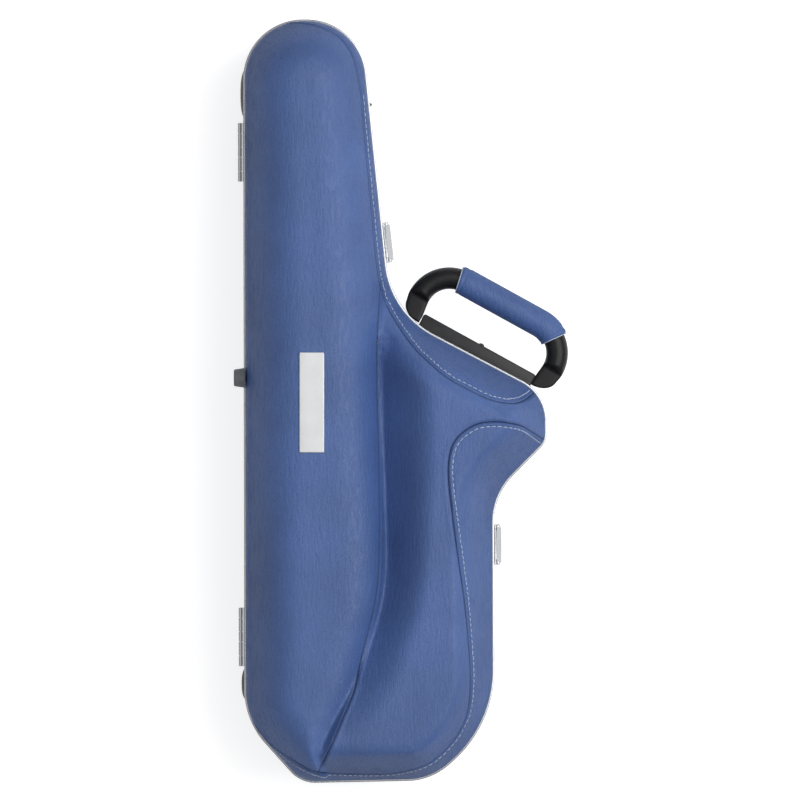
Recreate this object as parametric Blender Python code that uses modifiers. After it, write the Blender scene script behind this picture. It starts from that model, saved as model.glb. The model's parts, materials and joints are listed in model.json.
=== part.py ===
"""A shaped case for an alto saxophone, lying closed on its flat back.

Lengths are in metres. +Z is up, +Y runs towards the neck end and +X towards the
handle. The origin lies on the flat back, under the middle of the case's outline.
Places on the outline are shares of the case's width and length, counted from the
hinge side and from the bottom end.
"""
import math

import bmesh
import bpy
import numpy as np
from mathutils import Matrix, Vector
from mathutils.bvhtree import BVHTree

# Outline and depth of the case, over the leather
CASE_LENGTH = 0.647
BODY_WIDTH = 0.2555
LID_DEPTH = 0.090
BACK_DEPTH = 0.080
FIT_GAP = 0.0003
OVERRUN = 0.004

# Corners of the outline, counter-clockwise from the neck end's hinge side
OUTLINE_SHARES = (
    (0.000, 1.000), (0.0043, 0.0815), (0.1886, 0.000), (0.6189, 0.0035), (0.826, 0.0758),
    (0.8237, 0.3779), (1.000, 0.4482), (1.000, 0.5087), (0.4825, 0.6159), (0.381, 1.000))
# How far each corner's arc reaches along the shorter of the two sides beside it
CORNER_REACH_SHARES = (
    0.509, 0.363, 0.176, 0.2755, 0.660, 0.375, 0.152, 0.573, 0.2795, 0.459)
SHARPEST_RADIUS = 0.002
HINGE_SIDE, TOE_SLANT, BOTTOM, HEEL_SLANT, BELL_SIDE, WAIST, TIP, FLANK, NECK_SIDE, TOP = range(10)

# Walls, from the outside in
LEATHER = 0.0015
SHELL_WALL = 0.0035
LINER_GAP = 0.0035
FOAM = 0.010

# Metal rim round both halves: a channel that holds the edge of leather and shell
RIM_HEIGHT = 0.009
RIM_FLANGE = 0.0012
RIM_WEB = 0.0015
RIM_INNER_HEIGHT = 0.007
PARTING_GAP = 0.0003
CHANNEL_GAP = 0.0010

# The moulded form: heights as shares of the lid's depth, widths of the rounded walls
BAND_HEIGHT = 0.010
RING_INSET = 0.024
BODY_WALL_WIDTH = 0.055
CAP_WALL_WIDTH = 0.047
TOE_WALL_WIDTH = 0.040
BOTTOM_WALL_WIDTH = 0.028
FLANK_WALL_WIDTH = 0.038
TIP_WALL_WIDTH = 0.034
BELL_WALL_WIDTH = 0.036
HEEL_WALL_WIDTH = 0.032
BACK_WALL_WIDTH = 0.030
RIDGE_BEYOND_SEAM = 0.012
VALLEY_BLEND = 0.003
BRANCH_FADE = 0.030
RIDGE_HEIGHT_SHARES = ((0.0, 0.94), (0.30, 0.96), (0.65, 0.96), (0.90, 0.88), (1.0, 0.85))
BODY_PROFILE_POWER = 2.3
BACK_PROFILE_POWER = 2.6
BELL_PROFILE_IN_POWER = 1.8
BELL_PROFILE_OUT_POWER = 1.15

# Valley between the body ridge and the bell: floor height and width along the length
VALLEY_FLOOR_SHARES = (
    (0.02, 1.0), (0.06, 0.97), (0.11, 0.86), (0.17, 0.68), (0.24, 0.55), (0.32, 0.49),
    (0.46, 0.49), (0.54, 0.54), (0.58, 0.62), (0.62, 0.86), (0.66, 1.0))
VALLEY_WIDTH = 0.055
VALLEY_WIDTH_SHARES = (
    (0.02, 0.30), (0.10, 0.60), (0.20, 0.80), (0.32, 0.85), (0.46, 0.90), (0.52, 0.95),
    (0.56, 0.60), (0.59, 0.38), (0.62, 0.14), (0.66, 0.10))

# Seams of the lid's leather, as shares of width and length
BODY_SEAM_SHARES = (
    (0.4536, 0.655), (0.446, 0.610), (0.441, 0.567), (0.444, 0.502), (0.450, 0.397),
    (0.450, 0.292), (0.438, 0.240), (0.418, 0.205), (0.388, 0.160), (0.360, 0.119),
    (0.322, 0.0835), (0.282, 0.0455), (0.251, 0.018), (0.244, 0.0125))
NECK_BAND_SHARES = (
    (-0.020, 0.925), (0.012, 0.940), (0.045, 0.960), (0.100, 0.981), (0.190, 0.991),
    (0.280, 0.983), (0.335, 0.965), (0.366, 0.945), (0.381, 0.920), (0.396, 0.862),
    (0.4260, 0.737), (0.4350, 0.697), (0.4470, 0.661), (0.4640, 0.635), (0.5050, 0.604),
    (0.5600, 0.5725), (0.6165, 0.5502), (0.6720, 0.5318), (0.7460, 0.5155), (0.8157, 0.5030),
    (0.8758, 0.4982), (0.9178, 0.5000), (0.9550, 0.5090), (0.985, 0.522), (1.02, 0.538))
BELL_BAND_SHARES = (
    (1.020, 0.444), (0.988, 0.4515), (0.9280, 0.4665), (0.8780, 0.4715), (0.8270, 0.4732),
    (0.7767, 0.4707), (0.7344, 0.4623), (0.7008, 0.4499), (0.6820, 0.4331), (0.6757, 0.4081),
    (0.6820, 0.3745), (0.6965, 0.3345), (0.7133, 0.2893), (0.7315, 0.2395), (0.7460, 0.1805),
    (0.7516, 0.1346), (0.7437, 0.0966), (0.7249, 0.0756), (0.6965, 0.0566), (0.6456, 0.0350),
    (0.5951, 0.0225), (0.5192, 0.0140), (0.4435, 0.0108), (0.2857, 0.0123), (0.2282, 0.0159),
    (0.1839, 0.0247), (0.1440, 0.0341), (0.1120, 0.0429), (0.0839, 0.0516), (0.0560, 0.0644),
    (0.0200, 0.0820), (-0.020, 0.100))
PANEL_PLACES = {
    "lid_body_leather": (0.20, 0.50), "lid_bell_leather": (0.60, 0.30),
    "lid_neck_side_leather": (0.42, 0.85), "lid_bell_side_leather": (0.82, 0.25)}
SEAM_KERF = 0.0006
SEAM_STEPS = 2

# Hinges
HINGE_PLACE_SHARES = (0.0785, 0.9586)
HINGE_LENGTH = 0.050
HINGE_AXIS_OUT = 0.0046
HINGE_KNUCKLE_RADIUS = 0.0019
HINGE_PIN_RADIUS = 0.0010
HINGE_LEAF = 0.0012
HINGE_LEAF_HEIGHT = 0.0062
HINGE_KNUCKLE_SHARES = (0.176, 0.242, 0.170, 0.236, 0.176)
KNUCKLE_GAP = 0.0004

# Latches: a lever on the back half draws a loop down over a keeper on the lid
LATCH_SHARES = ((NECK_SIDE, 0.010), (BELL_SIDE, 0.980))
LATCH_WIDTH = 0.0345
LATCH_PLATE = 0.0010
LATCH_BASE_HEIGHT = 0.029
LATCH_TOP = 0.0012
CHEEK = 0.0010
LEVER_FLANGE = 0.0010
LATCH_PIN_OUT = 0.0049
LATCH_BARREL_RADIUS = 0.0017
LATCH_PIN_RADIUS = 0.0009
LEVER_PIN_DOWN = 0.0070
LOOP_PIN_DOWN = 0.0125
LOOP_OUT = 0.0067
LOOP_HOOK_IN = 0.0039
LOOP_FRAME_WIDTH = 0.0035
LEVER_OUT = 0.0071
LEVER_END_DOWN = 0.0310
LEVER_TAB_TOP = 0.0205
KEEPER_WIDTH = 0.026
KEEPER_HEIGHT = 0.0088
KEEPER_LEDGE_OUT = 0.0054
KEEPER_LEDGE_TOP = 0.0062

# Carrying handle on the flank
HANDLE_PLACE_SHARE = 0.542
HANDLE_AXIS_OUT = 0.0093
HANDLE_AXIS_DOWN = 0.0143
HANDLE_TILT_DEGREES = -1.2
HANDLE_SPAN = 0.130
HANDLE_REACH = 0.0435
HANDLE_BEND = 0.029
ARM_RADIUS = 0.0093
GRIP_RADIUS = 0.0120
GRIP_START_SHARE = 0.30
GRIP_END_SHARE = 0.76
BLADE_THICKNESS = 0.0066
BLADE_LENGTH = 0.016
BLADE_BELOW = 0.0033
BLADE_WIDTH = 0.0110
BLADE_EDGE = 0.0015
BAR_LENGTH = 0.1085
BAR_HEIGHT = 0.0094
BAR_OUT = 0.0032
BAR_IN = 0.016
BAR_EDGE = 0.0016
HANDLE_PIN_RADIUS = 0.0015
HANDLE_PIN_LENGTH = 0.010
HANDLE_PIN_IN_BLADE = 0.0042

# Feet, plate and stud on the outside
FOOT_PLACE_SHARE = 0.489
FOOT_UP = 0.026
FOOT_HEIGHT = 0.0095
FOOT_BASE_RADIUS = 0.0085
FOOT_TIP_RADIUS = 0.0070
BUMPER_PLACE_SHARES = (0.023, 0.992)
BUMPER_LENGTHS = (0.043, 0.030)
BUMPER_DOWN = 0.024
BUMPER_HEIGHT = 0.020
BUMPER_PROUD = 0.0042
PLATE_WIDTH = 0.0209
PLATE_LENGTH = 0.0845
PLATE_THICKNESS = 0.0010
PLATE_PLACE_SHARES = (0.225, 0.4985)
STUD_PLACE_SHARE = 0.836
STUD_RADIUS = 0.0021
STUD_PROUD = 0.0016

# Supports inside: saddles on the back's floor, cushions under the lid
SADDLE_LENGTH = 0.030
SADDLE_ROWS = {
    "upper_saddle": ((0.215, 0.800), 0.062, 0.040, 0.024),
    "lower_saddle": ((0.235, 0.330), 0.072, 0.040, 0.028),
    "bell_saddle": ((0.570, 0.330), 0.078, 0.046, 0.034)}
CUSHION_ROWS = {
    "lid_body_cushion": ((0.235, 0.520), 0.062, 0.300, 6),
    "lid_bell_cushion": ((0.600, 0.250), 0.056, 0.096, 2)}
CUSHION_THICKNESS = 0.013
CUSHION_BACKING = 0.006
CUSHION_EDGE = 0.003
CUSHION_CHANNEL_SHARE = 0.35
CUSHION_CORNER_POWER = 4
CUSHION_ACROSS = 7
CUSHION_ALONG = 4

ARC_STEPS = 16
LINE_STEPS = 12
SIDE_STEPS = ARC_STEPS + LINE_STEPS
WALL_RIBS = {"fine": (6, 12, 5, 8), "coarse": (4, 9, 4, 6)}
STEEP_RING_SHARES = {"fine": (0.035, 0.16, 0.45, 1.0), "coarse": (0.06, 0.35, 1.0)}
SLOPING_RING_SHARES = {"fine": (0.12, 0.35, 0.65, 1.0), "coarse": (0.20, 0.60, 1.0)}
CROTCH_RIBS = 3
BACK_RING_SHARES = (0.05, 0.32, 1.0)
BALL_RING_SHARES = (0.5, 0.8, 0.95, 1.0)
BALL_DIRECTIONS = 12
RELAX_ROUNDS = 8
ROUND_SIDES = 10
FINE_ROUND_SIDES = 24


def clear_scene():
    """Remove whatever the file holds."""
    for item in list(bpy.data.objects):
        bpy.data.objects.remove(item, do_unlink=True)


def new_collection(name):
    """A collection of the scene."""
    group = bpy.data.collections.new(name)
    bpy.context.scene.collection.children.link(group)
    return group


clear_scene()
PARTS = new_collection("alto_saxophone_case")
CUTTERS = new_collection("cutters")


def finish(name, colour, roughness, metallic=0.0):
    """A Principled material of one colour."""
    made = bpy.data.materials.new(name)
    made.use_nodes = True
    shader = made.node_tree.nodes["Principled BSDF"]
    shader.inputs["Base Color"].default_value = (*colour, 1.0)
    shader.inputs["Roughness"].default_value = roughness
    shader.inputs["Metallic"].default_value = metallic
    made.diffuse_color = (*colour, 1.0)
    return made


BLUE_LEATHER = finish("blue_leather", (0.075, 0.130, 0.300), 0.55)
BLACK_SHELL = finish("black_shell", (0.020, 0.020, 0.022), 0.50)
BRIGHT_RIM = finish("bright_rim", (0.780, 0.780, 0.770), 0.30, 1.0)
CHROME = finish("chrome", (0.800, 0.800, 0.810), 0.12, 1.0)
SEAL_RUBBER = finish("seal_rubber", (0.015, 0.015, 0.016), 0.75)
FOOT_RUBBER = finish("foot_rubber", (0.105, 0.112, 0.123), 0.70)
BLACK_PLASTIC = finish("black_plastic", (0.018, 0.018, 0.018), 0.45)
SATIN_PLATE = finish("satin_plate", (0.720, 0.725, 0.725), 0.35, 0.6)
PLUSH = finish("black_plush", (0.014, 0.014, 0.017), 0.95)


def add_part(name, mesh, material, group=None, smooth_degrees=35):
    """Link a mesh as a named part with its material and smooth round faces."""
    part = bpy.data.objects.new(name, mesh)
    mesh.materials.clear()
    mesh.materials.append(material)
    mesh.shade_smooth()
    mesh.set_sharp_from_angle(angle=math.radians(smooth_degrees))
    (group or PARTS).objects.link(part)
    return part


def add_cutter(name, mesh):
    """Link a mesh as a cutter, which is drawn as wires and not rendered."""
    tool = bpy.data.objects.new(name, mesh)
    tool.display_type = "WIRE"
    tool.hide_render = True
    CUTTERS.objects.link(tool)
    return tool


def mesh_of(build, name="mesh"):
    """Make a mesh with a function that fills a bmesh."""
    shape = bmesh.new()
    build(shape)
    mesh = bpy.data.meshes.new(name)
    shape.to_mesh(mesh)
    shape.free()
    return mesh


def evaluated(part):
    """The mesh of a part with its modifiers applied, in the world."""
    bpy.context.view_layer.update()
    seen = part.evaluated_get(bpy.context.evaluated_depsgraph_get())
    mesh = bpy.data.meshes.new_from_object(seen)
    mesh.transform(part.matrix_world)
    return mesh


def combine(base, tools, operation):
    """One mesh from a base mesh and tool meshes, joined or cut in turn."""
    part = add_cutter("combine_base", base)
    helpers = []
    for number, tool in enumerate(tools):
        helper = add_cutter(f"combine_tool_{number}", tool)
        helpers.append(helper)
        step = part.modifiers.new(f"step_{number}", "BOOLEAN")
        step.operation = operation
        step.solver = "EXACT"
        step.object = helper
    result = evaluated(part)
    for helper in [part, *helpers]:
        bpy.data.objects.remove(helper, do_unlink=True)
    return result


def joined(*meshes):
    """The union of overlapping meshes."""
    return combine(meshes[0], meshes[1:], "UNION")


def cut(base, *tools):
    """A mesh with the tools' space taken away."""
    return combine(base, tools, "DIFFERENCE")


def block(low, high, edge=0.0):
    """A box between two corners, with its edges rounded by `edge`."""
    low, high = Vector(low), Vector(high)

    def build(shape):
        bmesh.ops.create_cube(shape, size=1.0)
        bmesh.ops.scale(shape, vec=high - low, verts=shape.verts)
        bmesh.ops.translate(shape, vec=(low + high) / 2, verts=shape.verts)
        if edge:
            bmesh.ops.bevel(shape, geom=shape.edges[:], offset=edge, segments=2,
                            profile=0.5, affect="EDGES")

    return mesh_of(build)


def rod(start, end, radius, end_radius=None, sides=ROUND_SIDES):
    """A round bar or cone between two points."""
    start, end = Vector(start), Vector(end)

    def build(shape):
        axis = end - start
        turn = axis.to_track_quat("Z", "Y").to_matrix().to_4x4()
        place = Matrix.Translation((start + end) / 2) @ turn
        bmesh.ops.create_cone(shape, cap_ends=True, segments=sides, radius1=radius,
                              radius2=radius if end_radius is None else end_radius,
                              depth=axis.length, matrix=place)

    return mesh_of(build)


def placed(mesh, frame):
    """A mesh modelled in a frame's own axes, moved to its place in the case."""
    mesh.transform(frame)
    return mesh


def plan(shares):
    """Shares of width and length as places in plan."""
    table = np.array(shares, dtype=float)
    return (table - 0.5) * np.array([BODY_WIDTH, CASE_LENGTH])


def smooth_line(points, steps=SEAM_STEPS):
    """A Catmull-Rom curve through the points, as a finer line of points."""
    points = np.asarray(points, dtype=float)
    padded = np.vstack([2 * points[0] - points[1], points, 2 * points[-1] - points[-2]])
    pieces = []
    for before, start, end, after in zip(padded, padded[1:], padded[2:], padded[3:]):
        t = np.linspace(0, 1, steps, endpoint=False)[:, None]
        pieces.append(0.5 * (2 * start + (end - before) * t
                             + (2 * before - 5 * start + 4 * end - after) * t ** 2
                             + (3 * start - before - 3 * end + after) * t ** 3))
    return np.vstack([*pieces, points[-1:]])


def unit(vector):
    """A vector of length one."""
    return vector / np.linalg.norm(vector)


def outline_sides(inset):
    """The straight sides of the outline moved inwards, and where they meet."""
    corners = plan(OUTLINE_SHARES)
    count = len(corners)
    directions = [unit(corners[(i + 1) % count] - corners[i]) for i in range(count)]
    moved = []
    for i in range(count):
        before, after = directions[i - 1], directions[i]
        inward_before = np.array([-before[1], before[0]])
        inward_after = np.array([-after[1], after[0]])
        bisector = inward_before + inward_after
        moved.append(corners[i] + inset * bisector / (1 + inward_before @ inward_after))
    return moved, directions


def corner_arcs():
    """For each corner, how far its arc reaches along its sides, the turn, and the radius."""
    corners, directions = outline_sides(0.0)
    lengths = [math.dist(corners[i], corners[(i + 1) % len(corners)]) for i in range(len(corners))]
    arcs = []
    for i, share in enumerate(CORNER_REACH_SHARES):
        before, after = directions[i - 1], directions[i]
        turn = math.atan2(before[0] * after[1] - before[1] * after[0], before @ after)
        reach = share * min(lengths[i - 1], lengths[i])
        arcs.append((reach, turn, reach / math.tan(abs(turn) / 2)))
    return arcs


def rounded_outline(inset=0.0):
    """The closed outline, `inset` inside the leather, its corners as arcs.

    Each corner gives an arc and the straight side after it, always with as many
    points, so that two outlines of unlike inset match point for point.
    """
    corners, directions = outline_sides(inset)
    arcs = []
    for i, (_, turn, outer_radius) in enumerate(corner_arcs()):
        before = directions[i - 1]
        bend = math.copysign(1, turn)
        radius = max(outer_radius - bend * inset, SHARPEST_RADIUS)
        start = corners[i] - before * radius * math.tan(abs(turn) / 2)
        centre = start + bend * radius * np.array([-before[1], before[0]])
        angles = np.linspace(0, turn, ARC_STEPS + 1)
        spoke = start - centre
        arcs.append(np.stack([
            centre[0] + spoke[0] * np.cos(angles) - spoke[1] * np.sin(angles),
            centre[1] + spoke[0] * np.sin(angles) + spoke[1] * np.cos(angles)], axis=1))
    pieces = []
    for i, arc in enumerate(arcs):
        following = arcs[(i + 1) % len(arcs)]
        shares = np.linspace(0, 1, LINE_STEPS, endpoint=False)[1:, None]
        pieces.append(arc)
        pieces.append(arc[-1] + (following[0] - arc[-1]) * shares)
    return np.vstack(pieces)


def line_at(closed, index):
    """Points of a closed line at fractional indices."""
    index = np.asarray(index, dtype=float)
    whole = np.floor(index).astype(int)
    share = (index - whole)[..., None]
    count = len(closed)
    return closed[whole % count] * (1 - share) + closed[(whole + 1) % count] * share


def distances(points, line):
    """Distance from each point to each stretch of a line."""
    start, step = line[:-1], line[1:] - line[:-1]
    away = points[:, None, :] - start[None]
    along = np.sum(away * step, axis=2) / np.sum(step * step, axis=1)
    along = np.clip(along, 0, 1)[..., None]
    return np.linalg.norm(away - along * step, axis=2)


def wall_widths(gaps, widths):
    """The wall width that holds at each point: the nearest stretches count most."""
    weights = 1 / (gaps + FIT_GAP) ** 4
    return (weights * widths).sum(axis=1) / weights.sum(axis=1)


def rise(share, power_in, power_out):
    """Height of a rounded wall, 0 at its foot and 1 where it meets the crown."""
    share = np.clip(share, 0, 1)
    return (1 - (1 - share) ** power_in) ** (1 / power_out)


SEAM_LINE = smooth_line(plan(BODY_SEAM_SHARES))
CROTCH_BRANCH = 8 * SIDE_STEPS + 0.30 * ARC_STEPS
SEAM_END = 2 * SIDE_STEPS + ARC_STEPS + 0.10 * LINE_STEPS
OUTLINE_COUNT = len(OUTLINE_SHARES) * SIDE_STEPS


def table_line(shares, places):
    """Values of a table of (place, value) at the places asked for."""
    table = sorted(shares)
    return np.interp(places, [row[0] for row in table], [row[1] for row in table])


def seam_x(y):
    """The body seam's X at each Y."""
    order = np.argsort(SEAM_LINE[:, 1])
    return np.interp(y, SEAM_LINE[order, 1], SEAM_LINE[order, 0])


def outline_walls():
    """The closed outline, and the width in plan of the rounded wall on each stretch."""
    outline = rounded_outline()
    marks = {
        0: CAP_WALL_WIDTH, 1: BODY_WALL_WIDTH, 1.8: TOE_WALL_WIDTH, 2.6: BOTTOM_WALL_WIDTH,
        3.4: BOTTOM_WALL_WIDTH, 4: HEEL_WALL_WIDTH, 5: BELL_WALL_WIDTH, 6: TIP_WALL_WIDTH,
        7: TIP_WALL_WIDTH, 8: FLANK_WALL_WIDTH, 8.4: BODY_WALL_WIDTH, 9: CAP_WALL_WIDTH,
        10: CAP_WALL_WIDTH}
    places = np.array(list(marks)) * SIDE_STEPS
    widths = np.interp(np.arange(len(outline)), places, list(marks.values()))
    return np.vstack([outline, outline[:1]]), widths


def lid_height(points):
    """Height of the lid's form over the parting plane.

    The body ridge and the bell are two mounds inside the outline's rounded wall, and
    the form is the higher of the two, with the valley's corner rounded.
    """
    points = np.asarray(points, dtype=float)
    y_share = points[:, 1] / CASE_LENGTH + 0.5
    crown = LID_DEPTH - BAND_HEIGHT
    beside = points[:, 0] - seam_x(points[:, 1])
    wall, widths = outline_walls()
    gaps = distances(points, wall)
    width = wall_widths(gaps, widths)
    gap = gaps.min(axis=1)

    branch = SEAM_LINE[0, 1]
    above = np.clip((points[:, 1] - branch) / BRANCH_FADE, 0, 1)
    ridge_edge = np.maximum(RIDGE_BEYOND_SEAM - beside, 0) + above * CASE_LENGTH
    share = np.minimum(gap, ridge_edge) / width
    ridge = crown * table_line(RIDGE_HEIGHT_SHARES, y_share)
    ridge = ridge * rise(share, BODY_PROFILE_POWER, BODY_PROFILE_POWER)

    mound = crown * rise(gap / width, BELL_PROFILE_IN_POWER, BELL_PROFILE_OUT_POWER)
    valley_width = VALLEY_WIDTH * table_line(VALLEY_WIDTH_SHARES, y_share)
    across = np.clip(beside / valley_width, 0, 1)
    floor = table_line(VALLEY_FLOOR_SHARES, y_share)
    mound = mound * (floor + (1 - floor) * across ** 2 * (3 - 2 * across))
    mound = mound * np.clip(1 + beside / BODY_WALL_WIDTH, 0, 1)

    apart = np.abs(ridge - mound)
    blend = (np.sqrt(apart ** 2 + VALLEY_BLEND ** 2) - apart) / 2
    fade = np.clip(np.minimum(ridge, mound) / VALLEY_BLEND, 0, 1)
    return BAND_HEIGHT + np.maximum(ridge, mound) + blend * fade


def sunk_height(points, depth):
    """Height of the surface that lies `depth` inside the lid's form.

    A ball of radius `depth` rolls under the form, and its centre draws the surface.
    """
    points = np.asarray(points, dtype=float)
    lowest = lid_height(points) - depth
    for ring in BALL_RING_SHARES:
        for angle in np.linspace(0, 2 * math.pi, BALL_DIRECTIONS, endpoint=False):
            step = ring * depth * np.array([math.cos(angle), math.sin(angle)])
            drop = depth * math.sqrt(1 - ring ** 2)
            lowest = np.minimum(lowest, lid_height(points + step) - drop)
    return lowest


def spread(first, last, outline, count):
    """Fractional indices that part the outline between two places into equal lengths."""
    index = np.linspace(first, last, 200)
    points = line_at(outline, index)
    lengths = np.concatenate([[0], np.cumsum(np.linalg.norm(np.diff(points, axis=0), axis=1))])
    return np.interp(np.linspace(0, lengths[-1], count + 1), lengths, index)


def patch(left, right, top, bottom):
    """A grid of plan points between four border lines: a Coons patch, evened out."""
    rows, columns = len(left), len(top)
    v = np.linspace(0, 1, rows)[:, None, None]
    u = np.linspace(0, 1, columns)[None, :, None]
    across = (1 - v) * top[None] + v * bottom[None]
    along = (1 - u) * left[:, None] + u * right[:, None]
    corners = ((1 - u) * (1 - v) * top[0] + u * (1 - v) * top[-1]
               + (1 - u) * v * bottom[0] + u * v * bottom[-1])
    grid = across + along - corners
    for _ in range(RELAX_ROUNDS):
        around = grid[:-2, 1:-1] + grid[2:, 1:-1] + grid[1:-1, :-2] + grid[1:-1, 2:]
        grid[1:-1, 1:-1] = around / 4
    return grid


def wall_ribs(detail):
    """Fractional indices of the ribs round the outline, and their spans between marks."""
    bell_across, bell_along, body_across, neck_along = WALL_RIBS[detail]
    outline = rounded_outline()
    half_arc = ARC_STEPS / 2
    marks = [half_arc, SIDE_STEPS + half_arc, SEAM_END, 4 * SIDE_STEPS + half_arc,
             7 * SIDE_STEPS + half_arc, CROTCH_BRANCH, 8 * SIDE_STEPS + ARC_STEPS,
             9 * SIDE_STEPS + half_arc, OUTLINE_COUNT + half_arc]
    counts = [neck_along + bell_along, body_across, bell_across, bell_along, bell_across,
              CROTCH_RIBS, neck_along - CROTCH_RIBS, body_across]
    spans = [spread(a, b, outline, n) for a, b, n in zip(marks, marks[1:], counts)]
    index = np.concatenate([span[:-1] for span in spans] + [spans[-1][-1:]])
    return index, spans


def lid_grids(detail, depth):
    """Plan grids of the lid's form: the wall rings, the body patch and the bell patch."""
    index, spans = wall_ribs(detail)
    bellward = np.interp(index % OUTLINE_COUNT,
                         [SEAM_END, 3 * SIDE_STEPS, 7.6 * SIDE_STEPS, CROTCH_BRANCH],
                         [0, 1, 1, 0])
    steep = np.array((0, 0, *STEEP_RING_SHARES[detail]))[:, None]
    sloping = np.array((0, 0, *SLOPING_RING_SHARES[detail]))[:, None]
    shares = (steep * (1 - bellward) + sloping * bellward)[..., None]
    foot = line_at(rounded_outline(depth), index)
    inner = line_at(rounded_outline(RING_INSET), index)
    rings = foot + (inner - foot) * shares

    left, bottom, heel, side, flank, crotch, neck, top = [
        line_at(rounded_outline(RING_INSET), span) for span in spans]
    neck = np.vstack([crotch, neck[1:]])
    seam = SEAM_LINE[(SEAM_LINE[:, 1] < flank[-1, 1]) & (SEAM_LINE[:, 1] > heel[0, 1])]
    seam = np.vstack([flank[-1:], seam[1:-1], heel[:1]])
    lengths = np.concatenate([[0], np.cumsum(np.linalg.norm(np.diff(seam, axis=0), axis=1))])
    places = np.linspace(0, lengths[-1], len(side))
    seam = np.stack([np.interp(places, lengths, seam[:, i]) for i in (0, 1)], axis=1)
    body = patch(left, np.vstack([neck[::-1], seam[1:]]), top[::-1], bottom)
    bell = patch(seam, side[::-1], flank[::-1], heel)
    return rings, body, bell


def add_grid(shape, points):
    """Add a grid of points, an array of rows, with its faces."""
    rows = [[shape.verts.new(point) for point in row] for row in points]
    for low, high in zip(rows, rows[1:]):
        for i in range(len(low) - 1):
            shape.faces.new((low[i], low[i + 1], high[i + 1], high[i]))
    return rows


def edge_height(depth):
    """Distance of a wall's edge from the parting: in the rim's channel, or above it."""
    if depth:
        return RIM_INNER_HEIGHT + FIT_GAP
    return PARTING_GAP / 2 + RIM_WEB + FIT_GAP


def lid_surface(detail, depth=0.0):
    """The lid's open surface, facing up, `depth` inside the form.

    The lowest ring is the edge that sits in the rim's channel, and the next one the
    top of the upright band; from there on the height function shapes the form.
    """

    def build(shape):
        for number, grid in enumerate(lid_grids(detail, depth)):
            flat = grid.reshape(-1, 2)
            tall = (sunk_height(flat, depth) if depth else lid_height(flat))
            tall = tall.reshape(grid.shape[:2])
            if number == 0:
                tall[0] = edge_height(depth)
                tall[1] = BAND_HEIGHT
            add_grid(shape, np.dstack([grid, BACK_DEPTH + tall]))
        bmesh.ops.remove_doubles(shape, verts=shape.verts, dist=FIT_GAP / 10)
        bmesh.ops.recalc_face_normals(shape, faces=shape.faces)
        if sum(face.normal.z * face.calc_area() for face in shape.faces) < 0:
            bmesh.ops.reverse_faces(shape, faces=shape.faces)
        bmesh.ops.triangulate(shape, faces=shape.faces)

    return mesh_of(build)


def back_surface(detail, depth=0.0):
    """The back's open surface, facing down: rounded walls and a flat floor."""
    index, _ = wall_ribs(detail)
    ring_shares = np.array((0, 0, *BACK_RING_SHARES))
    crown = BACK_DEPTH - depth - BAND_HEIGHT
    drops = BAND_HEIGHT + crown * rise(ring_shares, BACK_PROFILE_POWER, BACK_PROFILE_POWER)
    drops[0] = edge_height(depth)
    rings = []
    for share, drop in zip(ring_shares, drops):
        line = line_at(rounded_outline(depth + (BACK_WALL_WIDTH - depth) * share), index)
        rings.append(np.column_stack([line, np.full(len(line), BACK_DEPTH - drop)]))

    def build(shape):
        rows = add_grid(shape, np.array(rings))
        bmesh.ops.remove_doubles(shape, verts=shape.verts, dist=FIT_GAP / 10)
        floor = [vertex for vertex in rows[-1] if vertex.is_valid]
        shape.faces.new(floor)
        bmesh.ops.recalc_face_normals(shape, faces=shape.faces)
        if sum(face.normal.z * face.calc_area() for face in shape.faces) > 0:
            bmesh.ops.reverse_faces(shape, faces=shape.faces)
        bmesh.ops.triangulate(shape, faces=shape.faces)

    return mesh_of(build)


def with_wall(surface, start, wall):
    """A closed wall under an open surface, beginning `start` below it."""
    part = add_cutter("wall_base", surface)
    thick = part.modifiers.new("wall", "SOLIDIFY")
    thick.thickness = wall
    thick.offset = -1 - 2 * start / wall
    result = evaluated(part)
    bpy.data.objects.remove(part, do_unlink=True)
    return result


def liner_mesh(surface_of, detail):
    """A foam liner: an outer and an inner form, joined along their edges."""
    outer_in = LEATHER + FIT_GAP + SHELL_WALL + LINER_GAP

    def build(shape):
        borders = []
        for depth in (outer_in, outer_in + FOAM):
            surface = surface_of(detail, depth)
            if depth > outer_in:
                surface.flip_normals()
            before = len(shape.edges)
            shape.from_mesh(surface)
            shape.edges.ensure_lookup_table()
            borders += [edge for edge in shape.edges[before:] if edge.is_boundary]
        bmesh.ops.bridge_loops(shape, edges=borders)
        bmesh.ops.recalc_face_normals(shape, faces=shape.faces)

    return mesh_of(build)


def loose_pieces(mesh):
    """The separate bodies of a mesh, each as its own mesh."""
    shape = bmesh.new()
    shape.from_mesh(mesh)
    left = set(shape.verts)
    groups = []
    while left:
        seed = left.pop()
        group, front = {seed}, [seed]
        while front:
            vertex = front.pop()
            for edge in vertex.link_edges:
                other = edge.other_vert(vertex)
                if other in left:
                    left.remove(other)
                    group.add(other)
                    front.append(other)
        groups.append(group)
    order = {vertex: number for number, group in enumerate(groups) for vertex in group}
    meshes = []
    for number in range(len(groups)):
        copy = shape.copy()
        copy.verts.ensure_lookup_table()
        shape.verts.index_update()
        doomed = [copy.verts[v.index] for v in shape.verts if order[v] != number]
        bmesh.ops.delete(copy, geom=doomed, context="VERTS")
        made = bpy.data.meshes.new("piece")
        copy.to_mesh(made)
        copy.free()
        meshes.append(made)
    shape.free()
    return sorted(meshes, key=lambda piece: -len(piece.vertices))


def piece_at(pieces, place):
    """The piece that has a vertex nearest to a place in plan."""
    spot = plan([place])[0]

    def gap(piece):
        return min(math.dist(vertex.co.xy, spot) for vertex in piece.vertices)

    return min(pieces, key=gap)


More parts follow.
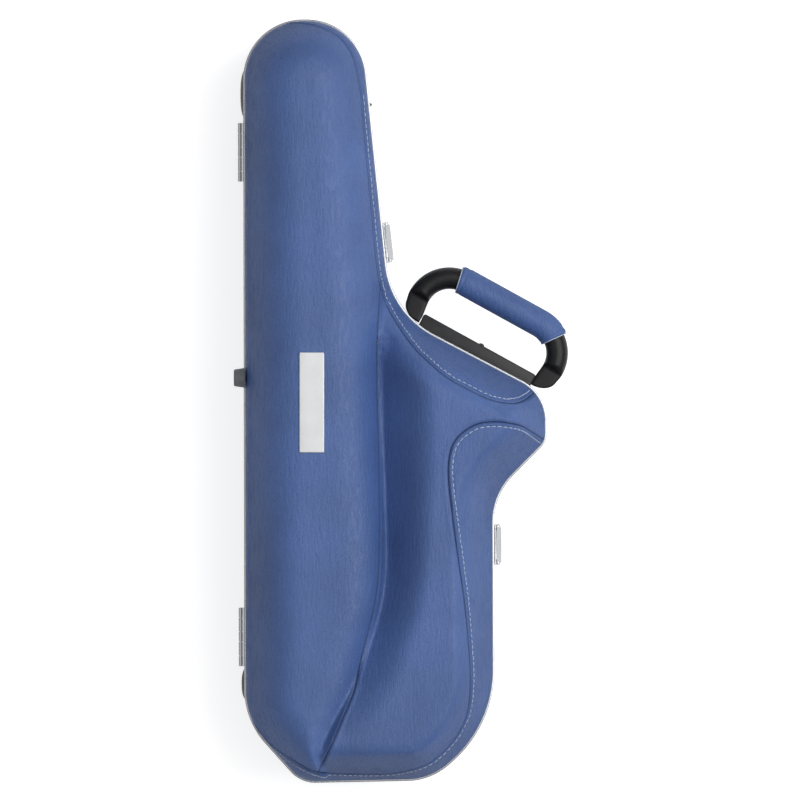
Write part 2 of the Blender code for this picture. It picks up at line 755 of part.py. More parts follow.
def ribbon(line, low, high, width):
    """An upright strip along a plan line, as a thin closed wall."""

    def build(shape):
        columns = [(shape.verts.new((x, y, low)), shape.verts.new((x, y, high))) for x, y in line]
        for (a, b), (c, d) in zip(columns, columns[1:]):
            shape.faces.new((a, c, d, b))

    part = add_cutter("ribbon", mesh_of(build))
    thick = part.modifiers.new("width", "SOLIDIFY")
    thick.thickness = width
    thick.offset = 0
    result = evaluated(part)
    bpy.data.objects.remove(part, do_unlink=True)
    return result


def ring_along_outline(section):
    """A bar of any section round the whole outline; section points are (out, up)."""
    index = wall_ribs("fine")[0]
    closed = [*section, section[0]]
    loops = [line_at(rounded_outline(-out), index) for out, _ in closed]
    grid = [np.column_stack([loop, np.full(len(loop), BACK_DEPTH + up)])
            for loop, (_, up) in zip(loops, closed)]

    def build(shape):
        add_grid(shape, np.array(grid))
        bmesh.ops.remove_doubles(shape, verts=shape.verts, dist=FIT_GAP / 10)
        bmesh.ops.recalc_face_normals(shape, faces=shape.faces)

    return mesh_of(build)


def make_leather_and_shells():
    """The two moulded shells and their leather; the lid's leather has three seams."""
    surface = lid_surface("fine")
    skin = with_wall(surface.copy(), 0.0, LEATHER)
    low, high = BACK_DEPTH - OVERRUN, BACK_DEPTH + LID_DEPTH + OVERRUN
    lines = (smooth_line(plan(NECK_BAND_SHARES)), smooth_line(plan(BELL_BAND_SHARES)), SEAM_LINE)
    seams = [ribbon(line, low, high, SEAM_KERF) for line in lines]
    pieces = loose_pieces(cut(skin, joined(*seams)))
    for name, place in PANEL_PLACES.items():
        add_part(name, piece_at(pieces[:len(PANEL_PLACES)], place), BLUE_LEATHER)
    add_part("lid_shell", with_wall(surface, LEATHER + FIT_GAP, SHELL_WALL), BLACK_SHELL)

    surface = back_surface("fine")
    add_part("back_leather", with_wall(surface.copy(), 0.0, LEATHER), BLUE_LEATHER)
    add_part("back_shell", with_wall(surface, LEATHER + FIT_GAP, SHELL_WALL), BLACK_SHELL)


def make_rims():
    """The metal channel on each half's edge, which holds leather and shell."""
    outside = FIT_GAP + RIM_FLANGE
    inside = -(LEATHER + FIT_GAP + SHELL_WALL + CHANNEL_GAP)
    inmost = inside - RIM_FLANGE
    near, web = PARTING_GAP / 2, PARTING_GAP / 2 + RIM_WEB
    channel = [(outside, near), (outside, RIM_HEIGHT), (FIT_GAP, RIM_HEIGHT), (FIT_GAP, web),
               (inside, web), (inside, RIM_INNER_HEIGHT), (inmost, RIM_INNER_HEIGHT), (inmost, near)]
    add_part("lid_rim", ring_along_outline(channel), BRIGHT_RIM)
    add_part("back_rim", ring_along_outline([(out, -up) for out, up in channel]), BRIGHT_RIM)


def side_frame(side, share, length=0.0):
    """Axes on a straight side: X along it, Y outwards, Z up from the parting.

    The middle of a piece of this length stands there, and the share says where in
    its free run it is, from one end of the straight stretch to the other.
    """
    corners, directions = outline_sides(0.0)
    arcs = corner_arcs()
    following = (side + 1) % len(corners)
    along = directions[side]
    first = corners[side] + along * (arcs[side][0] + length / 2)
    last = corners[following] - along * (arcs[following][0] + length / 2)
    x, y = first + (last - first) * share
    return Matrix((
        (-along[0], along[1], 0, x),
        (-along[1], -along[0], 0, y),
        (0, 0, 1, BACK_DEPTH),
        (0, 0, 0, 1)))


def make_hinge(name, share):
    """A butt hinge: knuckled leaves on the two rims, and the pin through them."""
    frame = side_frame(HINGE_SIDE, share, HINGE_LENGTH)
    seat = FIT_GAP + RIM_FLANGE + FIT_GAP
    face = seat + HINGE_LEAF
    half = HINGE_LENGTH / 2
    clear = HINGE_KNUCKLE_RADIUS + KNUCKLE_GAP
    bounds = np.concatenate([[0], np.cumsum(HINGE_KNUCKLE_SHARES)]) * HINGE_LENGTH - half
    for word, first in (("lid", 1), ("back", 0)):
        pieces = [block((-half, seat, clear), (half, face, clear + HINGE_LEAF_HEIGHT))]
        for start, end in zip(bounds[first:-1:2], bounds[first + 1::2]):
            low, high = start + KNUCKLE_GAP / 2, end - KNUCKLE_GAP / 2
            pieces.append(block((low, seat, 0), (high, face, clear + HINGE_LEAF)))
            pieces.append(rod((low, HINGE_AXIS_OUT, 0), (high, HINGE_AXIS_OUT, 0),
                              HINGE_KNUCKLE_RADIUS))
        bore = rod((-HINGE_LENGTH, HINGE_AXIS_OUT, 0), (HINGE_LENGTH, HINGE_AXIS_OUT, 0),
                   HINGE_PIN_RADIUS + FIT_GAP)
        leaf = cut(joined(*pieces), bore)
        if word == "back":
            leaf.transform(Matrix.Diagonal((1, 1, -1, 1)))
            leaf.flip_normals()
        add_part(f"{name}_hinge_{word}_leaf", placed(leaf, frame), CHROME)
    pin = rod((-half, HINGE_AXIS_OUT, 0), (half, HINGE_AXIS_OUT, 0), HINGE_PIN_RADIUS)
    add_part(f"{name}_hinge_pin", placed(pin, frame), CHROME)


def moving_part(name, mesh, material, frame, pivot=(0, 0, 0)):
    """A part whose origin lies on the axis that it turns about."""
    origin = frame @ Vector(pivot)
    mesh.transform(Matrix.Translation(-origin) @ frame)
    part = add_part(name, mesh, material)
    part.location = origin
    return part


def both_ends(outer, inner, low, high):
    """Two equal plates, one at each end, between two distances from the middle."""
    return [block((min(s * outer, s * inner), *low), (max(s * outer, s * inner), *high))
            for s in (-1, 1)]


def make_latch(name, side, share):
    """A draw latch: base with cheeks, lever, loop over the keeper, and two pins."""
    frame = side_frame(side, share, LATCH_WIDTH)
    half = LATCH_WIDTH / 2
    seat = FIT_GAP + RIM_FLANGE + FIT_GAP
    face = seat + LATCH_PLATE
    flange_out = half - CHEEK - FIT_GAP
    flange_in = flange_out - LEVER_FLANGE
    loop_half = flange_in - FIT_GAP
    lever_pin = (LATCH_PIN_OUT, -LEVER_PIN_DOWN)
    loop_pin = (LATCH_PIN_OUT, -LOOP_PIN_DOWN)

    def bore(centre):
        return rod((-LATCH_WIDTH, *centre), (LATCH_WIDTH, *centre), LATCH_PIN_RADIUS + FIT_GAP)

    plate = block((-half, seat, -LATCH_BASE_HEIGHT), (half, face, -LATCH_TOP))
    spacer = block((-loop_half, FIT_GAP, -LATCH_BASE_HEIGHT + FIT_GAP),
                   (loop_half, face - LATCH_PLATE / 2, -RIM_HEIGHT - FIT_GAP))
    cheeks = both_ends(half, half - CHEEK, (face - LATCH_PLATE / 2, -LOOP_PIN_DOWN),
                       (LATCH_PIN_OUT + LATCH_BARREL_RADIUS, -LATCH_TOP - LATCH_PLATE / 2))
    base = cut(joined(plate, spacer, *cheeks), bore(lever_pin))
    add_part(f"{name}_latch_base", placed(base, frame), CHROME)

    lever_face = LEVER_OUT + LATCH_PLATE
    tab = block((-flange_out, LEVER_OUT, -LEVER_END_DOWN), (flange_out, lever_face, -LEVER_TAB_TOP))
    flanges = both_ends(flange_out, flange_in, (LATCH_PIN_OUT - LATCH_BARREL_RADIUS,
                                                -LEVER_END_DOWN + LATCH_PLATE),
                        (lever_face - LATCH_PLATE / 2, -LEVER_PIN_DOWN))
    eyes = [rod((s * flange_in, *lever_pin), (s * flange_out, *lever_pin), LATCH_BARREL_RADIUS)
            for s in (-1, 1)]
    lever = cut(joined(tab, *flanges, *eyes), bore(lever_pin), bore(loop_pin))
    moving_part(f"{name}_latch_lever", lever, CHROME, frame, (0, *lever_pin))

    hook_low = KEEPER_LEDGE_TOP + FIT_GAP
    hook_high = hook_low + LATCH_PLATE
    loop_face = LOOP_OUT + LATCH_PLATE
    barrel = rod((-loop_half, *loop_pin), (loop_half, *loop_pin), LATCH_BARREL_RADIUS)
    web = block((-loop_half, LATCH_PIN_OUT, -LOOP_PIN_DOWN - LATCH_PLATE),
                (loop_half, loop_face, -LOOP_PIN_DOWN + LATCH_PLATE))
    inner_half = loop_half - LOOP_FRAME_WIDTH
    rails = both_ends(loop_half, inner_half, (LOOP_OUT, -LOOP_PIN_DOWN), (loop_face, hook_high))
    crosspiece = block((-loop_half, LOOP_OUT, hook_low - LOOP_FRAME_WIDTH),
                       (loop_half, loop_face, hook_high))
    hook = block((-loop_half, LOOP_HOOK_IN, hook_low), (loop_half, loop_face, hook_high))
    loop = cut(joined(web, barrel, *rails, crosspiece, hook), bore(loop_pin))
    moving_part(f"{name}_latch_loop", loop, CHROME, frame, (0, *loop_pin))

    for word, centre, reach in (("lever", lever_pin, half), ("loop", loop_pin, flange_out)):
        pin = rod((-reach, *centre), (reach, *centre), LATCH_PIN_RADIUS)
        moving_part(f"{name}_latch_{word}_pin", pin, CHROME, frame, (0, *centre))

    keeper_half = KEEPER_WIDTH / 2
    keeper = joined(
        block((-keeper_half, seat, LATCH_TOP), (keeper_half, face, KEEPER_HEIGHT)),
        block((-keeper_half, face - LATCH_PLATE / 2, KEEPER_LEDGE_TOP - LATCH_PLATE),
              (keeper_half, KEEPER_LEDGE_OUT, KEEPER_LEDGE_TOP)))
    add_part(f"{name}_latch_keeper", placed(keeper, frame), CHROME)


def handle_frame():
    """Axes of the handle: X along its pivot, Y outwards, origin between the pivots."""
    place = Matrix.Translation((0, HANDLE_AXIS_OUT, -HANDLE_AXIS_DOWN))
    turn = Matrix.Rotation(math.radians(HANDLE_TILT_DEGREES), 4, "Z")
    return side_frame(FLANK, HANDLE_PLACE_SHARE) @ place @ turn


def handle_path():
    """The handle's middle line in its own plane, from the left arm to the right one."""
    half = HANDLE_SPAN / 2
    turns = np.linspace(0, math.pi / 2, 9)
    left = np.stack([-half + HANDLE_BEND * (1 - np.cos(turns)),
                     HANDLE_REACH - HANDLE_BEND * (1 - np.sin(turns))], axis=1)
    right = left[::-1] * np.array([-1, 1])
    start = np.array([[-half, BLADE_LENGTH - OVERRUN / 2]])
    return np.vstack([start, left, right, start * np.array([-1, 1])])


def part_of_line(line, first, last):
    """The stretch of a line between two shares of its length."""
    lengths = np.concatenate([[0], np.cumsum(np.linalg.norm(np.diff(line, axis=0), axis=1))])
    shares = lengths / lengths[-1]
    kept = shares[(shares > first) & (shares < last)]
    places = np.concatenate([[first], kept, [last]])
    return np.stack([np.interp(places, shares, line[:, i]) for i in range(line.shape[1])], axis=1)


def tube(line, radius, resolution=2):
    """A round tube along a line of the XY plane, made from a curve."""
    curve = bpy.data.curves.new("tube", "CURVE")
    curve.dimensions = "3D"
    curve.bevel_depth = radius
    curve.bevel_resolution = resolution
    curve.use_fill_caps = True
    spline = curve.splines.new("POLY")
    spline.points.add(len(line) - 1)
    for point, (x, y) in zip(spline.points, line):
        point.co = (x, y, 0, 1)
    holder = bpy.data.objects.new("tube", curve)
    CUTTERS.objects.link(holder)
    mesh = evaluated(holder)
    bpy.data.objects.remove(holder, do_unlink=True)

    def build(shape):
        shape.from_mesh(mesh)
        bmesh.ops.remove_doubles(shape, verts=shape.verts, dist=FIT_GAP / 10)
        bmesh.ops.recalc_face_normals(shape, faces=shape.faces)

    return mesh_of(build)


def case_prism(grow, frame=None):
    """The case's outline as a tall block, `grow` larger all round, in a frame's axes."""
    outline = line_at(rounded_outline(-grow), wall_ribs("fine")[0][:-1])

    def build(shape):
        foot = shape.faces.new([shape.verts.new((x, y, -OVERRUN)) for x, y in outline])
        made = bmesh.ops.extrude_face_region(shape, geom=[foot])
        top = [item for item in made["geom"] if isinstance(item, bmesh.types.BMVert)]
        bmesh.ops.translate(shape, vec=(0, 0, BACK_DEPTH + LID_DEPTH), verts=top)
        bmesh.ops.recalc_face_normals(shape, faces=shape.faces)
        if frame:
            bmesh.ops.transform(shape, matrix=frame.inverted(), verts=shape.verts)

    return mesh_of(build)


def make_handle():
    """Base bar on the flank, the bent frame with its flat ends, grip sleeve and pins."""
    frame = handle_frame()
    half_span, half_bar = HANDLE_SPAN / 2, BAR_LENGTH / 2
    path = handle_path()
    pin_hole = HANDLE_PIN_RADIUS + FIT_GAP
    pin_start = half_span - ARM_RADIUS + HANDLE_PIN_IN_BLADE
    pin_end = pin_start - HANDLE_PIN_LENGTH

    blades, bores, bar_bores = [], [], []
    for s in (-1, 1):
        inner_end = half_span - ARM_RADIUS
        low, high = sorted((s * inner_end, s * (inner_end + BLADE_WIDTH)))
        blades.append(block((low, -BLADE_BELOW, -BLADE_THICKNESS / 2),
                            (high, BLADE_LENGTH, BLADE_THICKNESS / 2), edge=BLADE_EDGE))
        bores.append(rod((s * (inner_end - OVERRUN), 0, 0),
                         (s * (pin_start + FIT_GAP), 0, 0), pin_hole))
        bar_bores.append(rod((s * inner_end, 0, 0),
                             (s * (pin_end - FIT_GAP), 0, 0), pin_hole))
    arms = cut(joined(tube(path, ARM_RADIUS), *blades), *bores)
    moving_part("handle_frame", arms, BLACK_PLASTIC, frame)

    sleeve_line = part_of_line(path, GRIP_START_SHARE, GRIP_END_SHARE)
    sleeve = cut(tube(sleeve_line, GRIP_RADIUS), tube(path, ARM_RADIUS + FIT_GAP))
    moving_part("handle_grip_sleeve", sleeve, BLUE_LEATHER, frame)

    bar = block((-half_bar, -BAR_IN, -BAR_HEIGHT / 2), (half_bar, BAR_OUT, BAR_HEIGHT / 2),
                edge=BAR_EDGE)
    bar = cut(bar, case_prism(FIT_GAP, frame), *bar_bores)
    add_part("handle_base_bar", placed(bar, frame), BLACK_PLASTIC)
    for s, word in ((-1, "upper"), (1, "lower")):
        pin = rod((s * pin_start, 0, 0), (s * pin_end, 0, 0), HANDLE_PIN_RADIUS)
        add_part(f"handle_{word}_pin", placed(pin, frame), CHROME)


def make_feet_and_trim():
    """The side foot, the two bumpers, the plain plate and the stud on the rim."""
    frame = side_frame(HINGE_SIDE, FOOT_PLACE_SHARE, 2 * FOOT_BASE_RADIUS)
    foot = rod((0, FIT_GAP, FOOT_UP), (0, FIT_GAP + FOOT_HEIGHT, FOOT_UP), FOOT_BASE_RADIUS,
               FOOT_TIP_RADIUS, sides=FINE_ROUND_SIDES)
    add_part("side_foot", placed(foot, frame), FOOT_RUBBER)

    for word, share, length in zip(("upper", "lower"), BUMPER_PLACE_SHARES, BUMPER_LENGTHS):
        frame = side_frame(HINGE_SIDE, share)

        def build(shape):
            bmesh.ops.create_uvsphere(shape, u_segments=12, v_segments=8, radius=1.0)
            bmesh.ops.scale(shape, vec=(length / 2, BUMPER_PROUD, BUMPER_HEIGHT / 2),
                            verts=shape.verts)
            bmesh.ops.translate(shape, vec=(0, FIT_GAP, -BUMPER_DOWN), verts=shape.verts)

        bumper = cut(mesh_of(build), case_prism(FIT_GAP, frame))
        add_part(f"{word}_bumper", placed(bumper, frame), SEAL_RUBBER)

    centre = plan([PLATE_PLACE_SHARES])[0]

    def build_plate(shape):
        xs = centre[0] + PLATE_WIDTH * np.linspace(-0.5, 0.5, 4)
        ys = centre[1] + PLATE_LENGTH * np.linspace(-0.5, 0.5, 7)
        grid = np.array([[(x, y) for x in xs] for y in ys])
        tall = lid_height(grid.reshape(-1, 2)).reshape(grid.shape[:2])
        add_grid(shape, np.dstack([grid, BACK_DEPTH + tall + FIT_GAP + PLATE_THICKNESS]))

    add_part("front_plate", with_wall(mesh_of(build_plate), 0.0, PLATE_THICKNESS), SATIN_PLATE)

    frame = side_frame(NECK_SIDE, STUD_PLACE_SHARE)
    base = FIT_GAP + RIM_FLANGE + FIT_GAP
    stud = rod((0, base, RIM_HEIGHT / 2), (0, base + STUD_PROUD, RIM_HEIGHT / 2), STUD_RADIUS,
               STUD_RADIUS / 2)
    add_part("rim_joint_stud", placed(stud, frame), CHROME)


def heights_over(mesh, places):
    """The height at which a ray straight up from the parting plane meets the mesh."""
    shape = bmesh.new()
    shape.from_mesh(mesh)
    tree = BVHTree.FromBMesh(shape)
    shape.free()
    up = Vector((0, 0, 1))
    return np.array([tree.ray_cast(Vector((x, y, BACK_DEPTH)), up)[0].z for x, y in places])


def cushion_mesh(place, width, length, channels, liner):
    """A soft pad on the lid's lining: crowned, thin at its edge, with channels across.

    Over u and v from -1 to 1 its crown is (1 - u^4)^(1/2) (1 - v^4)^(1/2), and between
    two channels it swells like |sin|^(1/2), so that the channels are drawn in.
    """
    u = np.linspace(-1, 1, CUSHION_ACROSS)
    v = np.linspace(-1, 1, CUSHION_ALONG * channels + 1)
    u, v = np.meshgrid(u, v)
    round_off = np.sqrt((1 - u ** CUSHION_CORNER_POWER) * (1 - v ** CUSHION_CORNER_POWER))
    swell = np.sqrt(np.abs(np.sin(math.pi * channels * (v + 1) / 2)))
    crown = round_off * (1 - CUSHION_CHANNEL_SHARE * (1 - swell))
    drawn_in = 1 - CUSHION_CHANNEL_SHARE / channels * (1 - swell) * np.abs(u)
    x = place[0] + u * drawn_in * width / 2
    y = place[1] + v * length / 2
    lining = heights_over(liner, np.column_stack([x.ravel(), y.ravel()])).reshape(x.shape)

    def build(shape):
        borders = []
        for z in (lining + CUSHION_BACKING, lining - CUSHION_EDGE - CUSHION_THICKNESS * crown):
            before = len(shape.edges)
            add_grid(shape, np.dstack([x, y, z]))
            shape.edges.ensure_lookup_table()
            borders += [edge for edge in shape.edges[before:] if edge.is_boundary]
        bmesh.ops.bridge_loops(shape, edges=borders)
        bmesh.ops.recalc_face_normals(shape, faces=shape.faces)

    return mesh_of(build)


def make_lining():
    """Foam liners, and the saddles and cushions that hold the instrument on them."""
    lid_liner = liner_mesh(lid_surface, "coarse")
    back_liner = liner_mesh(back_surface, "coarse")
    floor = LEATHER + FIT_GAP + SHELL_WALL + LINER_GAP + FOAM + FIT_GAP
    for name, (place, width, height, notch) in SADDLE_ROWS.items():
        x, y = plan([place])[0]
        body = block((x - width / 2, y - SADDLE_LENGTH / 2, floor - OVERRUN),
                     (x + width / 2, y + SADDLE_LENGTH / 2, floor + height))
        hollow = rod((x, y - SADDLE_LENGTH, floor + height), (x, y + SADDLE_LENGTH, floor + height),
                     notch, sides=FINE_ROUND_SIDES)
        seat = back_liner.copy()
        seat.transform(Matrix.Translation((0, 0, FIT_GAP)))
        add_part(name, cut(body, hollow, seat), PLUSH)
    for name, (place, width, length, channels) in CUSHION_ROWS.items():
        seat = lid_liner.copy()
        seat.transform(Matrix.Translation((0, 0, -FIT_GAP)))
        pad = cushion_mesh(plan([place])[0], width, length, channels, lid_liner)
        add_part(name, cut(pad, seat), PLUSH)
    add_part("lid_foam_liner", lid_liner, PLUSH)
    add_part("back_foam_liner", back_liner, PLUSH)


make_leather_and_shells()
make_rims()
for hinge_name, hinge_share in zip(("upper", "lower"), HINGE_PLACE_SHARES):
    make_hinge(hinge_name, hinge_share)
for latch_name, (latch_side, latch_share) in zip(("neck", "waist"), LATCH_SHARES):
    make_latch(latch_name, latch_side, latch_share)
make_handle()
make_feet_and_trim()
make_lining()
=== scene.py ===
# %% [markdown]
# # A shaped case for an alto saxophone
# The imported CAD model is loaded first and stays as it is. Everything below either gives
# one of its nodes a better finish, or replaces a node by a smoother or softer piece of the
# same size. All lengths are in metres, +Z is up, +Y runs towards the neck end.

# %% Load the frame
import json
import math

import bmesh
import bpy
import numpy as np
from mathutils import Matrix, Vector
from mathutils.bvhtree import BVHTree


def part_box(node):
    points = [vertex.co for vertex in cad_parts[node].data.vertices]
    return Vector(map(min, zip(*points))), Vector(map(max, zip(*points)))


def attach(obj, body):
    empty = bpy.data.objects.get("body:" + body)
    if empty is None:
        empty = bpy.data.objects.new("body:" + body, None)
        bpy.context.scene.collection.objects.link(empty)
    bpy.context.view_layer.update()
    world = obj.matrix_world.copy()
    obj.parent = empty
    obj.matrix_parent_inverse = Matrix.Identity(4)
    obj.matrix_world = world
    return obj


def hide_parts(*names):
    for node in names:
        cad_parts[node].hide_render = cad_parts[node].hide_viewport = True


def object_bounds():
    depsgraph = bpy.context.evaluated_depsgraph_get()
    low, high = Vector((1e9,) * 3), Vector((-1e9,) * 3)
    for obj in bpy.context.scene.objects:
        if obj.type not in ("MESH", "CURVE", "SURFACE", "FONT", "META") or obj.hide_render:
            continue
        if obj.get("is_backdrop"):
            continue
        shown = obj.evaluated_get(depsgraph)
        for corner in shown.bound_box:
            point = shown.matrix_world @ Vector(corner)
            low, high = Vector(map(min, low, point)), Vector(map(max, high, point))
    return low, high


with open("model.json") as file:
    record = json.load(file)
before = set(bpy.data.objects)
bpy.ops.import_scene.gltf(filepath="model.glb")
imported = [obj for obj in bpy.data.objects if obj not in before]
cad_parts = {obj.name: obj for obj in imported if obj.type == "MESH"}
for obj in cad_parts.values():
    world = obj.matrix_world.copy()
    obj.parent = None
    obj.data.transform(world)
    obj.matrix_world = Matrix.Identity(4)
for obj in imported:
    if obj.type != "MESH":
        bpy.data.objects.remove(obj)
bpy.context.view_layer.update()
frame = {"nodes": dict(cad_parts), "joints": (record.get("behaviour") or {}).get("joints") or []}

# %% [markdown]
# ## The outline of the case
# Seen from above the case is a row of straight sides joined by round arcs. A place on it
# is one number: the whole part counts the corners and the rest says how far along the arc
# and then the side it is. With a second number, the distance inwards, the whole rim, wall
# and lining can be written as surfaces over the same two numbers.

# %% Corners, arcs and sides
CASE_LENGTH, BODY_WIDTH = 0.647, 0.2555
BACK_DEPTH, LID_DEPTH = 0.080, 0.090
BAND_HEIGHT, RING_INSET = 0.010, 0.024
ARC_SHARE, LEAST_RADIUS = 16 / 28, 0.002
CORNER_SHARES = np.array([
    (0.000, 1.000), (0.0043, 0.0815), (0.1886, 0.000), (0.6189, 0.0035), (0.826, 0.0758),
    (0.8237, 0.3779), (1.000, 0.4482), (1.000, 0.5087), (0.4825, 0.6159), (0.381, 1.000)])
REACH_SHARES = np.array([
    0.509, 0.363, 0.176, 0.2755, 0.660, 0.375, 0.152, 0.573, 0.2795, 0.459])


def plan(shares):
    """Shares of the case's width and length, from its hinge side and bottom end, in metres."""
    return (np.asarray(shares, float) - 0.5) * np.array([BODY_WIDTH, CASE_LENGTH])


def outline(inset, place):
    """The case's outline moved inwards by `inset`, at an array of places from 0 to 10.

    Two straight sides that meet turn by an angle T. The arc between them has the radius
    R - inset on an outer corner and R + inset on an inner one, and starts R tan(T / 2)
    before the corner; the first ARC_SHARE of a place's fraction runs along the arc, the
    rest along the side after it.
    """
    corners = plan(CORNER_SHARES)
    sides = np.roll(corners, -1, 0) - corners
    lengths = np.linalg.norm(sides, axis=1)
    after = sides / lengths[:, None]
    before = np.roll(after, 1, 0)
    turn = np.arctan2(before[:, 0] * after[:, 1] - before[:, 1] * after[:, 0],
                      (before * after).sum(1))
    half = np.tan(np.abs(turn) / 2)
    outer = REACH_SHARES * np.minimum(lengths, np.roll(lengths, 1)) / half
    bend = np.sign(turn)
    radius = np.maximum(outer - bend * inset, LEAST_RADIUS)
    left_before = np.stack([-before[:, 1], before[:, 0]], 1)
    left_after = np.stack([-after[:, 1], after[:, 0]], 1)
    bisector = left_before + left_after
    moved = corners + inset * bisector / (1 + (left_before * left_after).sum(1))[:, None]
    start = moved - before * (radius * half)[:, None]
    centre = start + left_before * (bend * radius)[:, None]
    spoke = start - centre

    place = np.asarray(place, float) % len(corners)
    k = np.floor(place).astype(int)
    share = place - k
    angle = turn[k] * np.clip(share / ARC_SHARE, 0, 1)
    cosine, sine = np.cos(angle), np.sin(angle)
    arc = centre[k] + np.stack([spoke[k, 0] * cosine - spoke[k, 1] * sine,
                                spoke[k, 0] * sine + spoke[k, 1] * cosine], 1)
    straight = np.clip((share - ARC_SHARE) / (1 - ARC_SHARE), 0, 1)[:, None]
    return arc + (start[(k + 1) % len(corners)] - arc) * straight


def run_of(points):
    """Length run along a line of points at each of them: the sum of the steps before it."""
    return np.concatenate([[0], np.cumsum(np.linalg.norm(np.diff(points, axis=0), axis=1))])


def at_run(at, run, points):
    """Points of a line where its length run has the given values."""
    return np.stack([np.interp(at, run, values) for values in points.T], -1)


def evenly(first, last, count):
    """Places that part the outline between two places into `count` equal lengths."""
    fine = np.linspace(first, last, 60 * int(math.ceil(last - first)) + 1)
    run = run_of(outline(0, fine))
    return np.interp(np.linspace(0, run[-1], count + 1), run, fine)


ROUND = evenly(0, 10, 1100)[:-1]
print("outline of", len(ROUND), "points, all round in mm:",
      round(1000 * np.linalg.norm(np.diff(outline(0, ROUND), axis=0), axis=1).sum()))

# %% [markdown]
# ## Helpers for meshes
# A grid of points becomes a mesh in one go: the corner numbers of its faces come from
# shifted copies of one index array, so no loop runs over the points.

# %% From arrays to meshes
DOUBLED, SHARP_EDGE = 1e-6, math.radians(38)
COLLECTION = bpy.data.collections.new("case_looks")
bpy.context.scene.collection.children.link(COLLECTION)


def grid_faces(rows, columns, closed_rows=False, closed_columns=False):
    """Corner numbers of the quads of a grid, with either direction closed to a loop."""
    index = np.arange(rows * columns).reshape(rows, columns)
    if closed_rows:
        index = np.vstack([index, index[:1]])
    if closed_columns:
        index = np.hstack([index, index[:, :1]])
    return np.stack([index[:-1, :-1], index[:-1, 1:], index[1:, 1:], index[1:, :-1]],
                    -1).reshape(-1, 4)


def new_piece(name, points, faces, body, material, smooth=True):
    """An object at the origin with a mesh of the points and faces, riding on a body."""
    mesh = bpy.data.meshes.new(name)
    mesh.from_pydata(np.asarray(points, float).reshape(-1, 3).tolist(), [],
                     faces if isinstance(faces, list) else faces.tolist())
    piece = bpy.data.objects.new(name, mesh)
    COLLECTION.objects.link(piece)
    mesh.materials.append(material)
    if smooth:
        mesh.shade_smooth()
    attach(piece, body)
    return piece


def tidy(piece, merge=DOUBLED, sharp=None):
    """Merge doubled points, point the faces outwards and mark edges sharper than an angle."""
    shape = bmesh.new()
    shape.from_mesh(piece.data)
    bmesh.ops.remove_doubles(shape, verts=shape.verts, dist=merge)
    bmesh.ops.recalc_face_normals(shape, faces=shape.faces)
    shape.to_mesh(piece.data)
    shape.free()
    piece.data.shade_smooth()
    if sharp is not None:
        piece.data.set_sharp_from_angle(angle=math.radians(sharp))
    return piece


def copied_node(node, name, flat=None):
    """A new piece from a CAD node's triangles, merged; nearly flat faces may be joined."""
    shape = bmesh.new()
    shape.from_mesh(frame["nodes"][node].data)
    bmesh.ops.remove_doubles(shape, verts=shape.verts, dist=DOUBLED)
    if flat is not None:
        bmesh.ops.dissolve_limit(shape, angle_limit=math.radians(flat), verts=shape.verts,
                                 edges=shape.edges)
    bmesh.ops.recalc_face_normals(shape, faces=shape.faces)
    mesh = bpy.data.meshes.new(name)
    shape.to_mesh(mesh)
    shape.free()
    piece = bpy.data.objects.new(name, mesh)
    COLLECTION.objects.link(piece)
    return piece


def dressed_copy(node, body, material, edge, segments):
    """A copy of a hard CAD node whose flat faces are whole again and whose edges are eased."""
    piece = copied_node(node, node + "_finished", flat=2)
    piece.data.materials.append(material)
    piece.data.shade_smooth()
    piece.data.set_sharp_from_angle(angle=SHARP_EDGE)
    ease = piece.modifiers.new("eased edges", "BEVEL")
    ease.width = edge
    ease.segments = segments
    ease.limit_method = "ANGLE"
    ease.angle_limit = SHARP_EDGE
    ease.harden_normals = True
    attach(piece, body)
    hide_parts(node)
    return piece


print("helpers ready")

# %% [markdown]
# ## The moulded form of the lid
# The lid is two mounds in one outline: the ridge over the instrument's body tube, and the
# wider mound over its bell, with a valley between them. Each mound is a wall that rises
# from the outline and levels out, like a superellipse, and the form is the higher of the
# two. It could be sculpted, but a height that is computed from two distances stays the
# same in every run and can be asked for anywhere, also under a stitch.

# %% Seams and tables of the form
BODY_SEAM = plan([
    (0.4536, 0.655), (0.446, 0.610), (0.441, 0.567), (0.444, 0.502), (0.450, 0.397),
    (0.450, 0.292), (0.438, 0.240), (0.418, 0.205), (0.388, 0.160), (0.360, 0.119),
    (0.322, 0.0835), (0.282, 0.0455), (0.251, 0.018), (0.244, 0.0125)])
NECK_BAND = plan([
    (-0.020, 0.980), (0.030, 0.988), (0.080, 0.994), (0.130, 0.9965), (0.190, 0.9960),
    (0.245, 0.9915), (0.300, 0.9820), (0.332, 0.9705), (0.357, 0.9550), (0.372, 0.9380),
    (0.382, 0.9180), (0.390, 0.8930), (0.396, 0.862),
    (0.4260, 0.737), (0.4350, 0.697), (0.4470, 0.661), (0.4640, 0.635), (0.5050, 0.604),
    (0.5600, 0.5725), (0.6165, 0.5502), (0.6720, 0.5318), (0.7460, 0.5155), (0.8157, 0.5030),
    (0.8758, 0.4982), (0.9178, 0.5000), (0.9550, 0.5090), (0.985, 0.522), (1.02, 0.538)])
